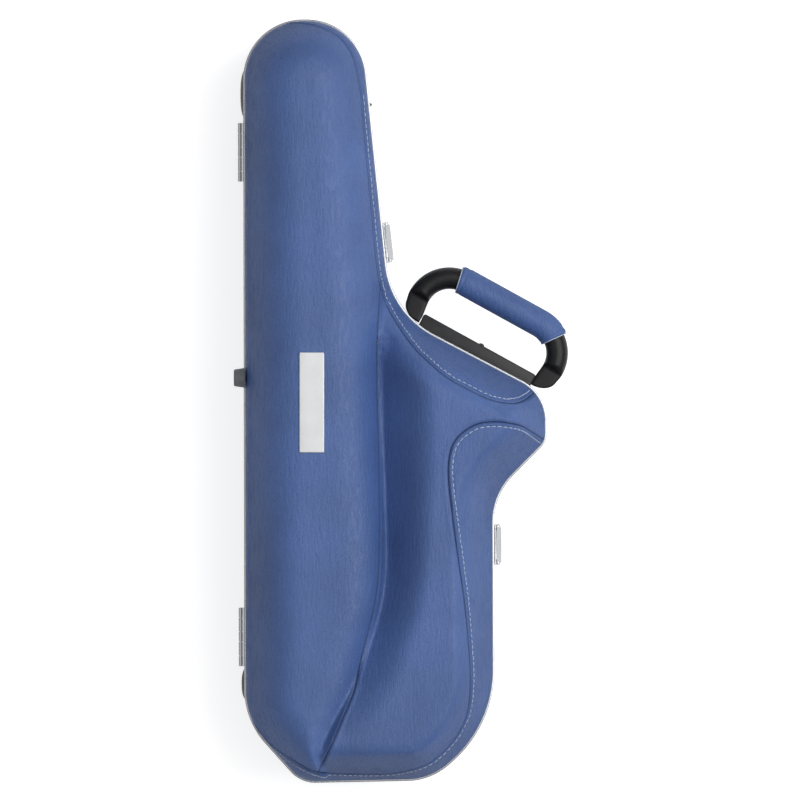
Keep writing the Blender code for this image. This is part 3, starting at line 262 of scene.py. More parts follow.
BELL_BAND = plan([
    (1.020, 0.444), (0.988, 0.4515), (0.9280, 0.4665), (0.8780, 0.4715), (0.8270, 0.4732),
    (0.7767, 0.4707), (0.7344, 0.4623), (0.7008, 0.4499), (0.6820, 0.4331), (0.6757, 0.4081),
    (0.6820, 0.3745), (0.6965, 0.3345), (0.7133, 0.2893), (0.7315, 0.2395), (0.7460, 0.1805),
    (0.7516, 0.1346), (0.7437, 0.0966), (0.7249, 0.0756), (0.6965, 0.0566), (0.6456, 0.0350),
    (0.5951, 0.0225), (0.5192, 0.0140), (0.4435, 0.0108), (0.2857, 0.0123), (0.2282, 0.0159),
    (0.1839, 0.0247), (0.1440, 0.0341), (0.1120, 0.0429), (0.0839, 0.0516), (0.0560, 0.0644),
    (0.0200, 0.0820), (-0.020, 0.100)])
WALL_MARKS = np.array([0, 1, 1.8, 2.6, 3.4, 4, 5, 6, 7, 8, 8.4, 9, 10])
WALL_WIDTHS = np.array([.047, .055, .040, .028, .028, .032, .036, .034, .034, .038, .055, .047,
                        .047])
RIDGE_SHARES = np.array([(0, .94), (.30, .96), (.65, .96), (.90, .88), (1, .85)])
FLOOR_SHARES = np.array([
    (.02, 1), (.06, .97), (.11, .86), (.17, .68), (.24, .55), (.32, .49), (.46, .49),
    (.54, .50), (.59, .57), (.625, .80), (.655, 1)])
VALLEY_SHARES = np.array([
    (.02, .30), (.10, .60), (.20, .76), (.32, .80), (.46, .90), (.52, .86), (.57, .62),
    (.60, .42), (.63, .20), (.66, .10)])
RIDGE_BEYOND, VALLEY_WIDTH, BODY_WALL, BLEND = 0.0100, 0.055, 0.055, 0.004
BRANCH_FADE, BRANCH_REACH = 0.045, 0.16
BEYOND_SHARES = np.array([(.02, 1), (.28, 1), (.42, .56), (.66, .56)])
RIDGE_POWERS, MOUND_POWERS, BACK_POWERS, BACK_WALL = (2.3, 2.3), (1.8, 1.15), (2.6, 2.6), 0.030
BLOCK = 8000


def smooth_line(points, steps=8):
    """A Catmull-Rom curve: each stretch is the cubic through four neighbouring points."""
    padded = np.vstack([2 * points[0] - points[1], points, 2 * points[-1] - points[-2]])
    a, b, c, d = padded[:-3, None], padded[1:-2, None], padded[2:-1, None], padded[3:, None]
    t = np.linspace(0, 1, steps, endpoint=False)[None, :, None]
    curve = 0.5 * (2 * b + (c - a) * t + (2 * a - 5 * b + 4 * c - d) * t ** 2
                   + (3 * b - a - 3 * c + d) * t ** 3)
    return np.vstack([curve.reshape(-1, points.shape[1]), points[-1:]])


def eased(table, x):
    """A table's value at x, on cubics that pass its rows with their neighbours' slopes."""
    k = np.clip(np.searchsorted(table[:, 0], x) - 1, 0, len(table) - 2)
    slopes = np.gradient(table[:, 1], table[:, 0])
    width = table[k + 1, 0] - table[k, 0]
    t = np.clip((x - table[k, 0]) / width, 0, 1)
    return ((2 * t ** 3 - 3 * t ** 2 + 1) * table[k, 1]
            + (t ** 3 - 2 * t ** 2 + t) * width * slopes[k]
            + (3 * t ** 2 - 2 * t ** 3) * table[k + 1, 1]
            + (t ** 3 - t ** 2) * width * slopes[k + 1])


def signed_distance(points, line):
    """Distance from each point to a line in plan, positive on the left of its direction."""
    start, step = line[:-1], np.diff(line, axis=0)
    length = (step ** 2).sum(1)
    result = np.empty(len(points))
    for low in range(0, len(points), BLOCK):
        block = points[low:low + BLOCK]
        away = block[:, None] - start[None]
        along = np.clip((away * step).sum(2) / length, 0, 1)
        gap = away - along[..., None] * step
        square = (gap ** 2).sum(2)
        nearest = square.argmin(1)
        rows = np.arange(len(block))
        side = step[nearest, 0] * gap[rows, nearest, 1] - step[nearest, 1] * gap[rows, nearest, 0]
        result[low:low + BLOCK] = np.sqrt(square[rows, nearest]) * np.where(side < 0, -1, 1)
    return result


print("seams of", len(BODY_SEAM), len(NECK_BAND), "and", len(BELL_BAND), "points")

# %% [markdown]
# The wall's width differs along the outline, so each point asks every stretch of it and
# weighs the answers by the inverse fourth power of the distance: the nearest one decides.

# %% Height of the form
COARSE_ROUND = np.linspace(0, 10, 281)
COARSE_WALL = outline(0, COARSE_ROUND)
COARSE_WIDTHS = np.interp(COARSE_ROUND[:-1], WALL_MARKS, WALL_WIDTHS)


def wall_gap(points):
    """Distance of each point from the outline, and the wall width that holds there."""
    start, step = COARSE_WALL[:-1], np.diff(COARSE_WALL, axis=0)
    length = (step ** 2).sum(1)
    gap, width = np.empty(len(points)), np.empty(len(points))
    for low in range(0, len(points), BLOCK):
        away = points[low:low + BLOCK, None] - start[None]
        along = np.clip((away * step).sum(2) / length, 0, 1)
        away -= along[..., None] * step
        far = np.sqrt((away ** 2).sum(2))
        weight = (far + 0.0003) ** -4
        gap[low:low + BLOCK] = far.min(1)
        width[low:low + BLOCK] = (weight * COARSE_WIDTHS).sum(1) / weight.sum(1)
    return gap, width


def rise(share, power_in, power_out):
    """(1 - (1 - share)^p)^(1/q): a wall that starts steeply at 0 and levels out at 1."""
    return (1 - (1 - np.clip(share, 0, 1)) ** power_in) ** (1 / power_out)


def lid_form(points):
    """Height of the lid's form over the parting plane: the higher of ridge and bell."""
    y_share = points[:, 1] / CASE_LENGTH + 0.5
    crown = LID_DEPTH - BAND_HEIGHT
    order = np.argsort(BODY_SEAM[:, 1])
    seam = smooth_line(BODY_SEAM[order])
    beside = points[:, 0] - np.interp(points[:, 1], seam[:, 1], seam[:, 0])
    gap, width = wall_gap(points)
    above = np.clip((points[:, 1] - BODY_SEAM[0, 1]) / BRANCH_FADE, 0, 1)
    beyond = RIDGE_BEYOND * eased(BEYOND_SHARES, y_share)
    edge = np.maximum(beyond - beside, 0) + BRANCH_REACH * above ** 2
    steep = rise(np.minimum(gap, edge) / width, *RIDGE_POWERS)
    ridge = crown * eased(RIDGE_SHARES, y_share) * steep
    across = np.clip(beside / (VALLEY_WIDTH * eased(VALLEY_SHARES, y_share)), 0, 1)
    floor = np.clip(eased(FLOOR_SHARES, y_share), 0, 1)
    mound = crown * rise(gap / width, *MOUND_POWERS)
    climb = 0.5 * across ** 2 * (3 - 2 * across) + 0.5 * (1 - (1 - across) ** 1.8)
    mound = mound * (floor + (1 - floor) * climb)
    mound = mound * np.clip(1 + beside / BODY_WALL, 0, 1)
    apart = np.abs(ridge - mound)
    blend = (np.sqrt(apart ** 2 + BLEND ** 2) - apart) / 2
    fade = np.clip(np.minimum(ridge, mound) / BLEND, 0, 1)
    return BAND_HEIGHT + np.maximum(ridge, mound) + blend * fade


probe = lid_form(np.array([[-0.07, 0.0], [0.0, -0.1], [0.04, -0.1]]))
print("ridge, valley and bell stand in mm at", np.round(1000 * probe))

# %% [markdown]
# ## Grids over the lid
# Rings follow the outline down the wall. Inside them lie two four-sided patches, one over
# the body ridge and one over the bell, that meet along the seam between them. Each patch
# is a Coons patch: the blend of its four border lines, which keeps every border exact.

# %% Rings and patches
EVEN_ROUNDS, ELLIPTIC_ROUNDS = 60, 150
MARKS = [2 / 7, 1 + 2 / 7, 2 + ARC_SHARE + 0.1 * (1 - ARC_SHARE), 4 + 2 / 7, 7 + 2 / 7,
         8 + 0.3 * ARC_SHARE, 9 + 2 / 7, 10 + 2 / 7]


def coons(left, right, top, bottom):
    """A grid between four border lines: across plus along minus corners, then evened out.

    The mean of four neighbours folds over at a hollow border, so the last rounds solve
    c X_uu - 2 b X_uv + a X_vv = 0 with a = X_u.X_u, b = X_u.X_v, c = X_v.X_v instead:
    its solution never folds.
    """
    v = np.linspace(0, 1, len(left))[:, None, None]
    u = np.linspace(0, 1, len(top))[None, :, None]
    grid = ((1 - v) * top[None] + v * bottom[None] + (1 - u) * left[:, None] + u * right[:, None]
            - (1 - u) * (1 - v) * top[0] - u * (1 - v) * top[-1]
            - (1 - u) * v * bottom[0] - u * v * bottom[-1])
    for _ in range(EVEN_ROUNDS):
        grid[1:-1, 1:-1] = (grid[:-2, 1:-1] + grid[2:, 1:-1] + grid[1:-1, :-2] + grid[1:-1, 2:]) / 4
    for _ in range(ELLIPTIC_ROUNDS):
        east, west, north, south = (grid[1:-1, 2:], grid[1:-1, :-2], grid[:-2, 1:-1],
                                    grid[2:, 1:-1])
        u, v = (east - west) / 2, (south - north) / 2
        a, b, c = [(m * n).sum(-1)[..., None] for m, n in ((u, u), (u, v), (v, v))]
        cross = grid[2:, 2:] - grid[2:, :-2] - grid[:-2, 2:] + grid[:-2, :-2]
        grid[1:-1, 1:-1] = (c * (east + west) + a * (north + south) - b / 2 * cross) / (2 * (a + c))
    return grid


def lid_grids(along_neck, along_bell, across_body, across_bell, rings, inset=0.0):
    """Plan grids over the lid: rings from the outline inwards, body patch, bell patch."""
    counts = [along_neck + along_bell, across_body, across_bell, along_bell, across_bell,
              along_neck, across_body]
    spans = [evenly(a, b, n) for a, b, n in zip(MARKS, MARKS[1:], counts)]
    places = np.concatenate([span[:-1] for span in spans])
    bellward = np.interp(places % 10, [MARKS[2], 3, 7.6, MARKS[5]], [0, 1, 1, 0])[None, :, None]
    u = np.linspace(0, 1, rings + 1)[:, None, None]
    share = u ** 2.5 * (1 - bellward) + u ** 1.35 * bellward
    foot, inner = outline(inset, places), outline(RING_INSET, places)
    wall = foot + (inner - foot) * share
    left, bottom, heel, side, flank, neck, top = [outline(RING_INSET, s) for s in spans]
    seam = smooth_line(BODY_SEAM)
    seam = seam[(seam[:, 1] < flank[-1, 1]) & (seam[:, 1] > heel[0, 1])]
    seam = np.vstack([flank[-1:], seam[1:-1], heel[:1]])
    run = run_of(seam)
    seam = at_run(np.linspace(0, run[-1], len(side)), run, seam)
    body = coons(left, np.vstack([neck[::-1], seam[1:]]), top[::-1], bottom)
    bell = coons(seam, side[::-1], flank[::-1], heel)
    return places, wall, body, bell


def folded_cells(grid):
    """How many cells of a plan grid are turned over, from the sign of their area."""
    one, two = grid[1:, 1:] - grid[:-1, :-1], grid[1:, :-1] - grid[:-1, 1:]
    area = one[..., 0] * two[..., 1] - one[..., 1] * two[..., 0]
    return int((area * np.sign(np.median(area)) <= 0).sum())


places, wall, body_patch, bell_patch = lid_grids(60, 68, 28, 34, 20)
print("lid grids:", wall.shape[:2], body_patch.shape[:2], bell_patch.shape[:2],
      "folded cells:", folded_cells(body_patch) + folded_cells(bell_patch))

# %% [markdown]
# ## Grain and seams for the leather
# Grained leather is a skin of small rounded pebbles with fine creases between them. One
# node group makes it: Voronoi cells that noise has pushed out of line, a finer noise on
# top, and long soft creases that run with the length of the case. A second group draws a
# seam from a distance that each piece carries as an attribute: a dark, narrow gap where
# two panels meet, and a wider band of painted shade either side of it. Both groups only
# put out values, so the Principled shader stays in the material.


# %% Node helpers
def new_group(name, inputs, outputs):
    """An empty shader group with named float, colour or vector sockets."""
    group = bpy.data.node_groups.new(name, "ShaderNodeTree")
    for label, kind, value in inputs:
        made = group.interface.new_socket(name=label, in_out="INPUT", socket_type=kind)
        if value is not None:
            made.default_value = value
    for label, kind in outputs:
        group.interface.new_socket(name=label, in_out="OUTPUT", socket_type=kind)
    return group, group.nodes.new("NodeGroupInput"), group.nodes.new("NodeGroupOutput")


def add_node(tree, kind, links=None, **settings):
    """A node with its settings and input values; links map an input to an output socket."""
    node = tree.nodes.new(kind)
    for key, value in settings.items():
        setattr(node, key, value)
    for key, value in (links or {}).items():
        if isinstance(value, bpy.types.NodeSocket):
            tree.links.new(value, node.inputs[key])
        else:
            node.inputs[key].default_value = value
    return node


def blend_colours(tree, share, first, second, mode="MIX"):
    """A colour mix: the share and both colours may be values or sockets."""
    node = add_node(tree, "ShaderNodeMix", {0: share, 6: first, 7: second},
                    data_type="RGBA", blend_type=mode)
    return node.outputs[2]


def span(tree, value, low, high, to_low=0.0, to_high=1.0, kind="SMOOTHSTEP"):
    """A value eased from one span to another."""
    node = add_node(tree, "ShaderNodeMapRange",
                    {0: value, 1: low, 2: high, 3: to_low, 4: to_high}, interpolation_type=kind)
    return node.outputs[0]


def calculate(tree, operation, first, second=0.0):
    """One step of arithmetic."""
    return add_node(tree, "ShaderNodeMath", {0: first, 1: second}, operation=operation).outputs[0]


def bumped(tree, shader, height, strength, distance):
    """A height that turns the shader's normal, as if it stood out by up to `distance`."""
    bump = add_node(tree, "ShaderNodeBump", {"Height": height, "Strength": strength,
                                             "Distance": distance})
    tree.links.new(bump.outputs["Normal"], shader.inputs["Normal"])


# %% Leather grain group
grain_group, grain_in, grain_out = new_group(
    "leather grain",
    [("Vector", "NodeSocketVector", None), ("Cells per metre", "NodeSocketFloat", 720.0),
     ("Crease", "NodeSocketFloat", 0.5)],
    [("Height", "NodeSocketFloat"), ("Valley", "NodeSocketFloat"), ("Patches", "NodeSocketFloat")])
tree = grain_group
push = add_node(tree, "ShaderNodeTexNoise", {"Vector": grain_in.outputs["Vector"], "Scale": 260.0,
                                             "Detail": 2.0})
shift = add_node(tree, "ShaderNodeVectorMath", {0: push.outputs["Color"], 1: (0.5, 0.5, 0.5)},
                 operation="SUBTRACT")
shift = add_node(tree, "ShaderNodeVectorMath", {0: shift.outputs[0], "Scale": 0.0022},
                 operation="SCALE")
place = add_node(tree, "ShaderNodeVectorMath", {0: grain_in.outputs["Vector"], 1: shift.outputs[0]},
                 operation="ADD")
cells = add_node(tree, "ShaderNodeTexVoronoi",
                 {"Vector": place.outputs[0], "Scale": grain_in.outputs["Cells per metre"]},
                 feature="DISTANCE_TO_EDGE")
pebble = span(tree, cells.outputs["Distance"], 0.0, 0.28)
fine = add_node(tree, "ShaderNodeTexNoise", {"Vector": place.outputs[0], "Scale": 2100.0,
                                             "Detail": 3.0})
long_way = add_node(tree, "ShaderNodeMapping", {"Vector": place.outputs[0],
                                                "Scale": (430.0, 85.0, 260.0)})
folds = add_node(tree, "ShaderNodeTexNoise", {"Vector": long_way.outputs[0], "Scale": 1.0,
                                              "Detail": 4.0, "Roughness": 0.62})
creases = span(tree, folds.outputs["Fac"], 0.36, 0.56)
height = calculate(tree, "ADD", calculate(tree, "MULTIPLY", pebble, 0.5),
                   calculate(tree, "MULTIPLY", fine.outputs["Fac"], 0.35))
height = calculate(tree, "ADD", height,
                   calculate(tree, "MULTIPLY", creases, grain_in.outputs["Crease"]))
patches = add_node(tree, "ShaderNodeTexNoise", {"Vector": grain_in.outputs["Vector"],
                                                "Scale": 16.0, "Detail": 3.0})
tree.links.new(height, grain_out.inputs["Height"])
tree.links.new(calculate(tree, "SUBTRACT", 1.0, pebble), grain_out.inputs["Valley"])
tree.links.new(patches.outputs["Fac"], grain_out.inputs["Patches"])

# %% Seam group
seam_group, seam_in, seam_out = new_group(
    "seam gap",
    [("Distance", "NodeSocketFloat", 1.0), ("Half width", "NodeSocketFloat", 0.00065),
     ("Seam shade", "NodeSocketFloat", 0.004)],
    [("Gap", "NodeSocketFloat"), ("Seam shade", "NodeSocketFloat")])
tree = seam_group
away = calculate(tree, "ABSOLUTE", seam_in.outputs["Distance"])
gap = span(tree, away, 0.0, seam_in.outputs["Half width"], 1.0, 0.0)
# Painted shade: a mask that is 1 at the seam and fades to 0 at the given reach, for darkening the
# leather beside the groove.
seam_shade = span(tree, away, 0.0, seam_in.outputs["Seam shade"], 1.0, 0.0)
tree.links.new(gap, seam_out.inputs["Gap"])
tree.links.new(seam_shade, seam_out.inputs["Seam shade"])
print("groups:", [group.name for group in bpy.data.node_groups])

# %% [markdown]
# ## The blue leather
# Its colour is a greyed blue. Between the pebbles it is a little darker, as painted shade
# in the grain's hollows, large soft patches keep it from looking printed, and the two seam
# distances darken the gaps and paint shade a few millimetres either side of them. The sheen
# is that of a waxed, not a lacquered skin, so roughness stays near the middle, and the fine
# hairs of the grain swallow the shine at a flat angle, which Layer Weight sets here.


# %% Leather material
def new_material(name, colour, roughness, metallic=0.0, **more):
    """A Principled material with its uniform values set on the shader's own sockets."""
    material = bpy.data.materials.new(name)
    material.use_nodes = True
    tree = material.node_tree
    shader = tree.nodes["Principled BSDF"]
    shader.inputs["Base Color"].default_value = (*colour, 1)
    shader.inputs["Roughness"].default_value = roughness
    shader.inputs["Metallic"].default_value = metallic
    for label, value in more.items():
        shader.inputs[label.replace("_", " ")].default_value = value
    coordinate = tree.nodes.new("ShaderNodeTexCoord").outputs["Object"]
    return material, tree, shader, coordinate


def use_group(tree, group, **links):
    """A node of a group, with inputs given by name."""
    node = tree.nodes.new("ShaderNodeGroup")
    node.node_tree = group
    for key, value in links.items():
        key = key.replace("_", " ")
        if isinstance(value, bpy.types.NodeSocket):
            tree.links.new(value, node.inputs[key])
        else:
            node.inputs[key].default_value = value
    return node


def leather(name, colour, seams, crease=0.9, depth=0.00026):
    """Grained leather that draws the seams whose distance attributes are named."""
    material, tree, shader, place = new_material(name, colour, 0.5)
    facing = add_node(tree, "ShaderNodeLayerWeight", {"Blend": 0.5})
    tree.links.new(span(tree, facing.outputs["Facing"], 0.15, 0.80, 0.40, 0.02),
                   shader.inputs["Specular IOR Level"])
    grain = use_group(tree, grain_group, Vector=place, Crease=crease)
    tint = blend_colours(tree, span(tree, grain.outputs["Patches"], 0.3, 0.7, kind="LINEAR"),
                         (*[0.86 * c for c in colour], 1), (*[1.12 * c for c in colour], 1))
    # Painted shade: the hollows between the pebbles are darkened towards half the colour.
    tint = blend_colours(tree, calculate(tree, "MULTIPLY", grain.outputs["Valley"], 0.34), tint,
                         (*[0.52 * c for c in colour], 1))
    height = grain.outputs["Height"]
    for attribute in seams:
        carried = add_node(tree, "ShaderNodeAttribute", attribute_name=attribute)
        seam = use_group(tree, seam_group, Distance=carried.outputs["Fac"])
        # Painted shade: the colour is darkened a few millimetres either side of each seam, standing
        # in for the shade in and beside the groove.
        seam_shade = calculate(tree, "MULTIPLY", seam.outputs["Seam shade"], 0.24)
        tint = blend_colours(tree, seam_shade, tint, (*[0.42 * c for c in colour], 1))
        gap = calculate(tree, "MULTIPLY", seam.outputs["Gap"], 0.80)
        tint = blend_colours(tree, gap, tint, (0.006, 0.010, 0.028, 1))
        height = calculate(tree, "SUBTRACT", height,
                           calculate(tree, "MULTIPLY", seam.outputs["Gap"], 3.0))
    tree.links.new(tint, shader.inputs["Base Color"])
    worn = span(tree, grain.outputs["Height"], 0.2, 1.3, 0.54, 0.40, kind="LINEAR")
    tree.links.new(worn, shader.inputs["Roughness"])
    bumped(tree, shader, height, 0.75, depth)
    return material


BLUE = (0.070, 0.132, 0.340)
lid_leather_finish = leather("blue_leather_sewn", BLUE, ["seam_gap", "branch_gap"])
plain_leather_finish = leather("blue_leather_plain", BLUE, [])
grip_leather_finish = leather("blue_leather_grip", BLUE, ["seam_gap"])
print("leather finishes ready")

# %% [markdown]
# ## The lid's leather
# The four panels are one fine sheet over the form, finer near the seams. The height
# function alone has hard creases where its tables have corners, and glued leather bridges
# those, so the heights are relaxed a little. Then the seams are worked in along the
# normals: the leather dips into the gap, and on the band's side it lies over the turned-in
# edge as a raised welt, up to the stitches.


# %% Sheet of the lid
def sheet_over(grids, foot, form, near=None):
    """A welded sheet over plan grids: the rows of its foot, then heights from `form`.

    The foot's rows are (distance inwards, height) pairs, from the edge up to the wall.
    Where `near` says so, the cells are cut into four.
    """
    places, wall, body, bell = grids
    low_rows = np.array([np.column_stack([outline(inset, places), np.full(len(places), up)])
                         for inset, up in foot])
    plan_points = np.vstack([grid.reshape(-1, 2) for grid in (wall, body, bell)])
    heights = form(plan_points)
    heights[:len(places)] = BAND_HEIGHT
    points = np.vstack([low_rows.reshape(-1, 3), np.column_stack([plan_points, heights])])
    faces, start = [], 0
    for rows, columns, closed in ((len(wall) + len(foot), len(places), True),
                                  (*body.shape[:2], False), (*bell.shape[:2], False)):
        faces.append(grid_faces(rows, columns, closed_columns=closed) + start)
        start += rows * columns
    mesh = bpy.data.meshes.new("sheet")
    mesh.from_pydata(points.tolist(), [], np.vstack(faces).tolist())
    shape = bmesh.new()
    shape.from_mesh(mesh)
    bmesh.ops.remove_doubles(shape, verts=shape.verts, dist=DOUBLED)
    if near is not None:
        shape.verts.index_update()
        close = near(np.array([vertex.co[:2] for vertex in shape.verts]))
        edges = [e for e in shape.edges if close[e.verts[0].index] and close[e.verts[1].index]]
        bmesh.ops.subdivide_edges(shape, edges=edges, cuts=1, use_grid_fill=True)
    bmesh.ops.recalc_face_normals(shape, faces=shape.faces)
    if sum(face.normal.z * face.calc_area() for face in shape.faces) < 0:
        bmesh.ops.reverse_faces(shape, faces=shape.faces)
    shape.to_mesh(mesh)
    shape.free()
    return mesh


def coordinates(mesh):
    """The points of a mesh as an array."""
    values = np.empty(3 * len(mesh.vertices))
    mesh.vertices.foreach_get("co", values)
    return values.reshape(-1, 3)


def normals(mesh):
    """The point normals of a mesh as an array."""
    values = np.empty(3 * len(mesh.vertices))
    mesh.vertex_normals.foreach_get("vector", values)
    return values.reshape(-1, 3)


def sheet_piece(name, mesh, body, material, slot, *nodes):
    """A sheet as a piece of the case, standing for some of its nodes."""
    mesh.name = name
    mesh.shade_smooth()
    mesh.materials.append(material)
    piece = bpy.data.objects.new(name, mesh)
    COLLECTION.objects.link(piece)
    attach(piece, body)
    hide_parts(*nodes)
    return piece


def relax(mesh, points, rounds, held):
    """Move each free point's height halfway to its neighbours' mean height, a few times."""
    ends = np.empty(2 * len(mesh.edges), int)
    mesh.edges.foreach_get("vertices", ends)
    a, b = ends.reshape(-1, 2).T
    count = np.bincount(a, minlength=len(points)) + np.bincount(b, minlength=len(points))
    for _ in range(rounds):
        value = points[:, 2]
        total = (np.bincount(a, weights=value[b], minlength=len(points))
                 + np.bincount(b, weights=value[a], minlength=len(points)))
        points[:, 2] = np.where(held, value, (value + total / count) / 2)
    return points


def nearest_on(points, line):
    """Signed plan distance to a line, and the unit direction away from it."""
    distance = signed_distance(points, line)
    step = 1e-5
    across = np.stack([signed_distance(points + (step, 0), line),
                       signed_distance(points + (0, step), line)], 1) - distance[:, None]
    across /= np.maximum(np.linalg.norm(across, axis=1), 1e-9)[:, None]
    return distance, across


def along_surface(points, normal, line):
    """Distance to a seam measured on the slope: plan distance times root(1 + slope^2)."""
    distance, across = nearest_on(points[:, :2], line)
    slope = (normal[:, :2] * across).sum(1) / np.maximum(normal[:, 2], 0.12)
    return distance * np.sqrt(1 + slope ** 2)


NECK_LINE, BELL_LINE, BRANCH_LINE = [smooth_line(s) for s in (NECK_BAND, BELL_BAND, BODY_SEAM)]
NEAR_SEAM, LEATHER_FOOT, WALL_START = 0.0065, [(0, 0.0023)], BAND_HEIGHT + 0.0002


def near_seams(places):
    """Which plan points lie within a few millimetres of a seam."""
    gaps = [np.abs(signed_distance(places, line)) for line in (NECK_LINE, BELL_LINE, BRANCH_LINE)]
    return np.min(gaps, axis=0) < NEAR_SEAM


lid_mesh = sheet_over(lid_grids(124, 140, 56, 70, 40), LEATHER_FOOT, lid_form, near_seams)
lid_points = coordinates(lid_mesh)
on_wall = lid_points[:, 2] > WALL_START
lid_points[on_wall, 2] = lid_form(lid_points[on_wall, :2])
lid_points = relax(lid_mesh, lid_points, 14, ~on_wall)
lid_points[:, 2] += BACK_DEPTH
lid_mesh.vertices.foreach_set("co", lid_points.ravel())
lid_mesh.update()
print("lid sheet:", len(lid_mesh.vertices), "points,", len(lid_mesh.polygons), "faces")

# %% [markdown]
# The signed distance of every point to the seams shapes the welt, and stays on the mesh
# as two attributes, from which the finish draws the sharp gap.

# %% Seams worked into the sheet
lid_normal = normals(lid_mesh)
neck_gap = along_surface(lid_points, lid_normal, NECK_LINE)
bell_gap = along_surface(lid_points, lid_normal, BELL_LINE)
branch_gap = along_surface(lid_points, lid_normal, BRANCH_LINE)
seam_gap = np.where(np.abs(neck_gap) < np.abs(bell_gap), neck_gap, bell_gap)
WELT_WIDTH, WELT_HEIGHT, FURROW_WIDTH = 0.0038, 0.00060, 0.0011


def bump_between(distance, low, high):
    """sin^2 over a span of distances: 0 at both its ends and 1 in the middle."""
    share = np.clip((distance - low) / (high - low), 0, 1)
    return np.sin(math.pi * share) ** 2


def seam_profile(distance):
    """A dip at the seam, the welt beyond it, and a shallow pull where the stitches sit."""
    dip = np.exp(-(distance / FURROW_WIDTH) ** 2)
    pull = np.exp(-((distance - WELT_WIDTH) / 0.0010) ** 2)
    return (-0.00075 * dip + WELT_HEIGHT * bump_between(distance, 0.0004, WELT_WIDTH)
            - 0.00040 * pull + 0.00025 * bump_between(distance, -0.006, -0.0008))


lift = seam_profile(seam_gap)
lift += (-0.00065 * np.exp(-(branch_gap / FURROW_WIDTH) ** 2)
         + 0.00055 * bump_between(branch_gap, 0.0005, 0.0052))
fade = np.clip((lid_points[:, 2] - BACK_DEPTH - BAND_HEIGHT) / 0.004, 0, 1)
lid_points += lid_normal * (lift * fade)[:, None]
lid_mesh.vertices.foreach_set("co", lid_points.ravel())
for name, values in (("seam_gap", seam_gap), ("branch_gap", branch_gap)):
    lid_mesh.attributes.new(name, "FLOAT", "POINT").data.foreach_set("value", values)
lid_mesh.update()
sheet_piece("lid_leather", lid_mesh, "lid", lid_leather_finish, "blue_leather", "lid_body_leather",
            "lid_bell_leather", "lid_neck_side_leather", "lid_bell_side_leather")
print("leather rises to", round(1000 * lid_points[:, 2].max(), 1), "mm")

# %% [markdown]
# ## Stitches
# A pale thread runs beside both long seams, 5.1 mm from hole to hole. Each stitch is a
# short bent capsule: an arc of a few rings that comes out of the leather, lies on it, and
# goes back in. One array holds all of them.

# %% Pale thread
THREAD, STITCH_PITCH, STITCH_LENGTH, STITCH_ARC = 0.00043, 0.0051, 0.0039, 0.00042
OVER_ALL, FIRST_STITCH_HEIGHT, FIRST_STITCH_AT = 0.4, 0.0925, (0.388, 0.905)
DOWN = Vector((0, 0, -1))


def tree_of(mesh):
    """A search tree of a mesh's faces, for rays."""
    shape = bmesh.new()
    shape.from_mesh(mesh)
    tree = BVHTree.FromBMesh(shape)
    shape.free()
    return tree


def line_beside(tree, line, offset):
    """A seam line lifted on to the leather and moved sideways along its surface."""
    run = run_of(line)
    fine = at_run(np.arange(0, run[-1], 0.001), run, line)
    hits = [tree.ray_cast(Vector((x, y, OVER_ALL)), DOWN) for x, y in fine]
    kept = [(hit[0], hit[1]) for hit in hits
            if hit[0] is not None and hit[0].z > FIRST_STITCH_HEIGHT]
    foot = np.array([hit for hit, _ in kept])
    normal = np.array([n for _, n in kept])
    step = np.gradient(foot, axis=0)
    side = np.cross(normal, step)
    side /= np.linalg.norm(side, axis=1)[:, None]
    beside = foot + side * offset
    landed = [tree.ray_cast(Vector(p + 0.006 * n), Vector(-n)) for p, n in zip(beside, normal)]
    good = [(hit[0], hit[1]) for hit in landed if hit[0] is not None]
    return np.array([p for p, _ in good]), np.array([n for _, n in good])


def stitches(points, normal):
    """Capsules along a line: ring s in -1..1 lies at the arc 1 - 1.35 s^2 over the leather."""
    kernel = np.ones(5) / 5
    padded = np.vstack([normal[:1].repeat(2, 0), normal, normal[-1:].repeat(2, 0)])
    normal = np.stack([np.convolve(padded[:, i], kernel, "valid") for i in range(3)], 1)
    normal /= np.linalg.norm(normal, axis=1)[:, None]
    run = run_of(points)
    middles = np.arange(STITCH_PITCH, run[-1] - STITCH_PITCH, STITCH_PITCH)
    s = np.linspace(-1, 1, 9)
    at = middles[:, None] + s * STITCH_LENGTH / 2
    path, up = at_run(at, run, points), at_run(at, run, normal)
    along = path[:, 2:] - path[:, :-2]
    along = np.concatenate([along[:, :1], along, along[:, -1:]], 1)
    side = np.cross(along, up)
    side /= np.linalg.norm(side, axis=-1)[..., None]
    path = path + up * (STITCH_ARC * (1 - 1.35 * s ** 2))[None, :, None]
    turn = np.linspace(0, 2 * math.pi, 6, endpoint=False)
    width = THREAD * np.sqrt(1 - 0.93 * s ** 8)
    ring = (side[:, :, None] * np.cos(turn)[None, None, :, None]
            + up[:, :, None] * (0.8 * np.sin(turn))[None, None, :, None])
    return path[:, :, None] + ring * width[None, :, None, None]


